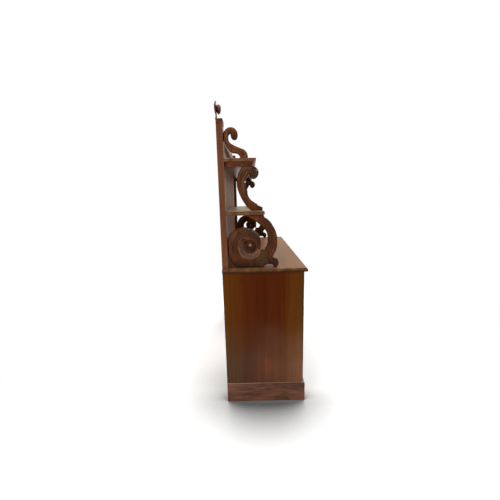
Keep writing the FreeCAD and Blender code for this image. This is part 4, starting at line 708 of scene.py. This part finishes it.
# 0 below low, 1 above high, with an easy start and end
def eased(value, low, high):
    share = np.clip((value - low) / (high - low), 0, 1)
    return share * share * (3 - 2 * share)


# 1 at the centre, fading out over the radius like a bell
def spot(across, up, centre, radius):
    return np.exp(-((across - centre[0]) ** 2 + (up - centre[1]) ** 2) / radius ** 2)


# The sum of such spots: each row gives a centre, a radius and how much it adds
def spots(across, up, rows):
    return sum(much * spot(across, up, centre, radius) for centre, radius, much in rows)


# 1 on a line, fading out over the width on both sides of it
def line(value, middle, width):
    return np.exp(-((value - middle) / width) ** 2)


# The volute: the distance to the eye is compared with the spiral's edge at this angle and at whole turns
# more, which gives the turn and the share of the way across it. Reeds are a sine of the distance from the
# outer edge, the button's side is an eased step of the distance to the eye, and its rings are a sine of it.
def carveLower(across, up, distance, toHole):
    bracket = lowerBracket
    side, rise = across - bracket["eye"][0], up - bracket["eye"][1]
    away = np.hypot(side, rise)
    angle = np.degrees(np.arctan2(-side, -rise)) % 360
    turned, edge = np.array(bracket["spiral"], float).T
    edges = np.stack([np.interp(angle + 360 * turn, turned, edge) for turn in range(5)])
    turn = (away[None] < edges).sum(axis=0) - 1
    columns = np.arange(len(away))
    outer = edges[np.clip(turn, 0, 4), columns]
    inner = edges[np.clip(turn + 1, 0, 4), columns]
    share = np.clip((outer - away) / np.maximum(outer - inner, 1), 0, 1)
    total = np.where(turn >= 0, angle + 360 * turn, -90)
    # the band, reeded and dished, from soon after straight down to a turn and a bit
    onBand = eased(total, 30, 90) * (1 - eased(total, 400, 470))
    onBand = onBand * np.clip(np.minimum(share, 1 - share) * 6, 0, 1)
    reed = np.sin(2 * np.pi * (outer - away) / bracket["reedStep"])
    hollow = np.sin(np.pi * share) * eased(total, 40, 100) * (1 - eased(total, 380, 430))
    # the rim of the slot: a bead with a painted highlight all round, brightest at the bottom
    bead = line(toHole, 3.0, 2.8) * eased(away, 48, 56)
    lower = eased(-rise, -30, 45)
    # the button in the middle, with its rings and its boss
    start, end, depth = bracket["flank"]
    button = 1 - eased(away, start, end)
    heart = 1 - eased(away, 14, 44)
    onButton = 1 - eased(away, 34, 40)
    ring = np.sin(2 * np.pi * away / bracket["ringStep"] + np.radians(angle)) * eased(away, 4, 9)
    relief = bracket["reedDepth"] * reed * onBand - bracket["hollowDepth"] * hollow
    relief = relief * (1 - onButton) + bracket["beadDepth"] * bead
    top = bracket["ringDepth"] * ring * button + 3.5 * spot(side, rise, (0, 2), 8) - 2.0 * button
    relief += onButton * (top - depth * (1 - button))
    # painted shade in the grooves between the reeds, and the bead's painted highlight
    tone = -1.0 * eased(-reed, -0.1, 0.9) * onBand * (1 - onButton) + bead * (0.15 + 0.50 * lower)
    # the button darkens to its middle with painted shade, its rings shaded in turn, and its boss takes a
    # painted highlight
    tone += -0.80 * heart - 0.26 * ring * onButton
    tone += spots(side, rise, [bracket["boss"]])
    # painted shade darkens the outer margin of the volute and of the scroll, but for the crest of the volute,
    # which takes a painted lit line
    crest = eased(rise, 30, 80) * (turn >= 0)
    margin = line(distance, 0, 4.5) * (1 - 0.8 * crest)
    tone -= 0.75 * margin * (1 - eased(bead, 0.1, 0.5)) * eased(away, 40, 50)
    tone += bracket["crest"] * line(distance, 3.5, 2.6) * crest
    # the small curl at the foot is ringed, and darkened with painted shade that follows its rings
    middle, radius = bracket["foot"]
    curl = spot(across, up, middle, radius)
    curlRing = np.sin(2 * np.pi * np.hypot(across - middle[0], up - middle[1]) / 9)
    relief += 1.2 * curlRing * curl
    tone += curl * (-0.55 + 0.35 * curlRing)
    # the scroll under the shelf: two long reeds follow its outer edge, under painted shade, darker in their
    # grooves
    ahead = eased(across, 150, 190)
    scroll = (turn < 0) * ahead
    follow = np.sin(2 * np.pi * distance / 13)
    relief += 0.9 * follow * scroll
    tone += scroll * (-0.25 + 0.20 * follow)
    # the foot of the volute turns into its own shade
    tone -= bracket["shade"] * eased(-rise, 40, 100) * eased(away, 58, 70) * (1 - ahead)
    # golden down the left of the band, olive over its top and at the foot
    golden = line(away, *bracket["goldenBand"][0]) * line(angle, *bracket["goldenBand"][1])
    return relief, tone, golden - 0.18 + spots(across, up, bracket["warmSpots"])


middleBracket = {
    "reach": 198, "height": 231, "thickness": 36, "ease": 6, "spacing": 1.6,
    "ball": ((155, 198), 26),  # centre and radius
    "ribbonDepth": 1.8, "grooveDepth": 1.0, "grooveStep": 11,
    "toneSpots": [((170, 212), 6, 1.3), ((126, 172), 14, -0.6)],  # the painted highlight on the ball, painted shade in the notch by it
    "warmSpots": [((75, 185), 24, 0.5), ((95, 215), 32, -0.9), ((90, 120), 40, -0.5)],
    "start": (0.692, 0.0),
    "rows": [
        (0.995, 0.0), (0.995, 0.077), (0.925, 0.103, 0.854, 0.133), (0.839, 0.158),
        (0.700, 0.237, 0.597, 0.363), (0.546, 0.480, 0.541, 0.600), (0.524, 0.662, 0.545, 0.720),
        (0.590, 0.768, 0.622, 0.822), (0.640, 0.838, 0.656, 0.820), (0.700, 0.750, 0.778, 0.719),
        (0.868, 0.768, 0.905, 0.855), (0.873, 0.938, 0.778, 1.0), (0.480, 1.0),
        (0.387, 0.885, 0.330, 0.750), (0.312, 0.610, 0.348, 0.456), (0.437, 0.272, 0.577, 0.086),
        (0.630, 0.040, 0.692, 0.0),
    ],
}

topBracket = {
    "reach": 125, "height": 153, "thickness": 36, "ease": 6, "spacing": 1.5,
    "ball": ((57, 106), 17), "ballDepth": 1.5, "ribbonDepth": 1.4,
    "toneSpots": [((38, 124), 8, -0.5)],
    "warmSpots": [((30, 134), 13, 0.9), ((10, 112), 14, -0.5)],
    "start": (0.668, 0.0),
    "rows": [
        (1.0, 0.0), (1.0, 0.040), (0.960, 0.170, 0.833, 0.285), (0.630, 0.350, 0.381, 0.446),
        (0.240, 0.545, 0.203, 0.687), (0.216, 0.760, 0.266, 0.806), (0.296, 0.806, 0.310, 0.780),
        (0.322, 0.690, 0.374, 0.635), (0.482, 0.612, 0.580, 0.690), (0.598, 0.800, 0.512, 0.933),
        (0.330, 0.998, 0.138, 0.952), (0.056, 0.885, 0.0, 0.800), (0.0, 0.600),
        (0.100, 0.430, 0.230, 0.272), (0.335, 0.200, 0.450, 0.178), (0.612, 0.125, 0.668, 0.0),
    ],
}


# The middle scroll: a hollowed ribbon with a margin of painted shade and a painted lit line on its right
# edge, and at its upper end a darker ball with one spiral groove, whose depth is a sine of the distance to
# its centre turned with the angle
def carveMiddle(across, up, distance, toHole):
    bracket = middleBracket
    (ballAcross, ballUp), radius = bracket["ball"]
    side, rise = across - ballAcross, up - ballUp
    away = np.hypot(side, rise)
    onBall = 1 - eased(away, radius - 2, radius + 3)
    ribbon = 1 - onBall
    groove = np.sin(2 * np.pi * away / bracket["grooveStep"] - np.arctan2(rise, side))
    relief = bracket["grooveDepth"] * groove * onBall
    relief -= bracket["ribbonDepth"] * eased(distance, 5, 14) * ribbon
    margin = line(distance, 0, 4.0)
    # the right edge leans to the left as it rises
    rightEdge = eased(across - (150 - 0.55 * up), -10, 20) * line(distance, 8.5, 2.6)
    # the ribbon: painted shade on its margin, a painted lit line on its right edge, darker towards its lower
    # end; the ball: darker, with painted shade on its rim and in its groove
    tone = ribbon * (-0.70 * margin + 0.30 * rightEdge - 0.10 - 0.16 * (1 - eased(up, 30, 90)))
    tone += onBall * (-0.42 - 0.5 * margin + 0.30 * groove) + spots(across, up, bracket["toneSpots"])
    return relief, tone, -0.75 * onBall + ribbon * spots(across, up, bracket["warmSpots"])


# The top scroll: a ribbon with painted shade on its two margins and a painted lit line inside them, golden
# inside the curl and dark on the ball at its end
def carveTop(across, up, distance, toHole):
    bracket = topBracket
    ball = spot(across, up, *bracket["ball"])
    relief = bracket["ballDepth"] * ball - bracket["ribbonDepth"] * eased(distance, 4, 12) * (1 - ball)
    tone = -0.75 * line(distance, 0, 3.6) - 0.75 * ball + 0.20 * line(distance, 8, 2.5)
    return relief, tone + spots(across, up, bracket["toneSpots"]), spots(across, up, bracket["warmSpots"])


for label, bracket, carve in (
    ("lower", lowerBracket, carveLower),
    ("middle", middleBracket, carveMiddle),
    ("top", topBracket, carveTop),
):
    size = np.array([bracket["reach"], bracket["height"]])
    loops = [outlinePoints(bracket["start"], bracket["rows"], size)]
    if "holeRows" in bracket:
        loops.append(outlinePoints(bracket["holeStart"], bracket["holeRows"], size))
    sheet, faces, marks = carvedSheet(loops, bracket["spacing"], bracket["thickness"], bracket["ease"], carve)
    node = label + "_brackets"
    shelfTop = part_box(node)[0][2] * 1000
    placed = []
    for end in ("left", "right"):
        low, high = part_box("gallery_post_" + end)
        # the sheet's second column is the reach in front of the post, towards -Y
        placed.append(np.column_stack([
            (low[0] + high[0]) * 500 + sheet[:, 0], low[1] * 1000 - sheet[:, 1], shelfTop + sheet[:, 2],
        ]))
    faces = np.concatenate([faces, faces + len(sheet)]).tolist()
    marks = {key: np.tile(values, 2) for key, values in marks.items()}
    makePiece(label + "Brackets", node, np.concatenate(placed), faces, marks)

# Finials: a carved leaf that stands on each post's cap, and a bud on its face
leaf = {
    "width": 58, "height": 91, "thickness": 10,
    # half width as a share of the width, going up; back and front of its bowed side outline
    "levels": [0, 0.12, 0.20, 0.24, 0.28, 0.34, 0.42, 0.52, 0.66, 0.76, 0.80, 0.84, 0.92, 0.97, 1.0],
    "halfWidths": [0.20, 0.14, 0.15, 0.22, 0.36, 0.44, 0.48, 0.50, 0.49, 0.44, 0.34, 0.26, 0.21, 0.14, 0.01],
    "sideLevels": [0, 0.225, 0.5, 0.775, 1.0],
    "back": [0.1, 0.4, 0.0, 0.0, 0.5],
    "front": [1.0, 1.0, 1.0, 1.0, 0.8],
    "lobes": 6, "lobeDepth": 0.10, "veins": 7, "veinDepth": 0.7, "veinLean": 1.3, "midrib": 0.12, "cup": 0.45,
    "steps": (61, 25),     # points up the leaf and across it
}
bud = {
    "radius": 12, "height": 48, "seat": 10, "petals": 7, "petalDepth": 0.10, "twist": 2.6,
    "steps": (41, 72),     # points up the bud and round it
    "levels": [0, 0.03, 0.08, 0.16, 0.28, 0.42, 0.58, 0.72, 0.84, 0.92, 0.97, 1.0],
    "radii": [0.02, 0.24, 0.42, 0.63, 0.83, 0.95, 1.0, 0.98, 0.90, 0.74, 0.52, 0.04],
}


# Quads between rings of points that run anticlockwise seen from the end of the row, and the two end faces
def ringFaces(rings, count):
    number = np.arange(rings * count).reshape(rings, count)
    turned = np.roll(number, -1, axis=1)
    quads = np.stack([number[:-1], turned[:-1], turned[1:], number[1:]], axis=2).reshape(-1, 4)
    return quads, number[0][::-1], number[-1]


# The leaf: half width times v across, up its height u; the front bows with the side outline, thins
# to its edges with the square of v, and its veins are a sine of u and the size of v
def leafPoints():
    u = np.linspace(0, 1, leaf["steps"][0])[:, None]
    v = np.linspace(-1, 1, leaf["steps"][1])[None]
    half = np.interp(u, leaf["levels"], leaf["halfWidths"]) * leaf["width"]
    lobe = np.abs(np.sin(np.pi * leaf["lobes"] * u)) ** 6 * eased(u, 0.3, 0.4) * (1 - eased(u, 0.74, 0.8))
    back = -np.interp(u, leaf["sideLevels"], leaf["back"]) * leaf["thickness"]
    front = -np.interp(u, leaf["sideLevels"], leaf["front"]) * leaf["thickness"]
    # from 0 on a vein to 1 between two, and 0 on the midrib
    between = 0.5 - 0.5 * np.sin(2 * np.pi * (leaf["veins"] * u - leaf["veinLean"] * np.abs(v)))
    between = between * (1 - line(v, 0, leaf["midrib"]))
    face = front + (back - front) * leaf["cup"] * v ** 2 + leaf["veinDepth"] * between
    rise = np.broadcast_to(u * leaf["height"], face.shape)
    side = half * (1 - leaf["lobeDepth"] * lobe) * v
    frontSheet = np.stack([side, face, rise], axis=2)
    backSheet = np.stack([side, np.broadcast_to(back, face.shape), rise], axis=2)[:, ::-1]
    # a painted highlight on the veins and painted shade in the hollows between them, darker towards the tip;
    # the back stays plain but for the darker tip
    tone = np.concatenate([0.15 - 0.45 * between, np.zeros(face.shape)], axis=1) - 0.45 * eased(u, 0.8, 1.0)
    return np.concatenate([frontSheet, backSheet], axis=1), tone


# The bud: a turned profile whose radius ripples with the angle and twists as it rises, cut flat at its seat
def budPoints():
    u = np.linspace(0, 1, bud["steps"][0])[:, None]
    angle = np.linspace(0, 2 * np.pi, bud["steps"][1], endpoint=False)[None]
    petal = np.abs(np.sin(bud["petals"] * angle / 2 + bud["twist"] * u)) ** 5 * eased(u, 0.05, 0.25)
    ripple = 1 - bud["petalDepth"] * petal
    radius = np.interp(u, bud["levels"], bud["radii"]) * bud["radius"] * ripple
    across, out = radius * np.cos(angle), np.minimum(radius * np.sin(angle), bud["seat"])
    points = np.stack([across, out, np.broadcast_to(u * bud["height"], across.shape)], axis=2)
    # a painted highlight over the upper part, painted shade in the grooves between the petals, and darker
    # towards the foot
    tone = 0.15 + 0.60 * eased(u, 0.45, 0.9) - 0.50 * (1 - eased(u, 0.2, 0.5)) - 4.0 * (1 - ripple)
    return points, tone


for name, node, (rings, tone) in (
    ("leafFinials", "finial_leaves", leafPoints()),
    ("budFinials", "finial_buds", budPoints()),
):
    low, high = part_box(node)
    # the leaf is set from its back, the bud from the middle of its turning
    seat = high[1] * 1000 if node == "finial_leaves" else low[1] * 1000 + bud["radius"]
    quads, foot, tip = ringFaces(*rings.shape[:2])
    points, faces = [], []
    for step, end in enumerate(("left", "right")):
        postLow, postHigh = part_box("gallery_post_" + end)
        middle = (postLow[0] + postHigh[0]) * 500
        points.append(rings.reshape(-1, 3) + np.array([middle, seat, low[2] * 1000]))
        shift = step * rings.shape[0] * rings.shape[1]
        faces += (quads + shift).tolist() + [(foot + shift).tolist(), (tip + shift).tolist()]
    marks = {"tone": np.tile(np.clip(tone, -1, 1).reshape(-1), 2)}
    makePiece(name, node, np.concatenate(points), faces, marks)
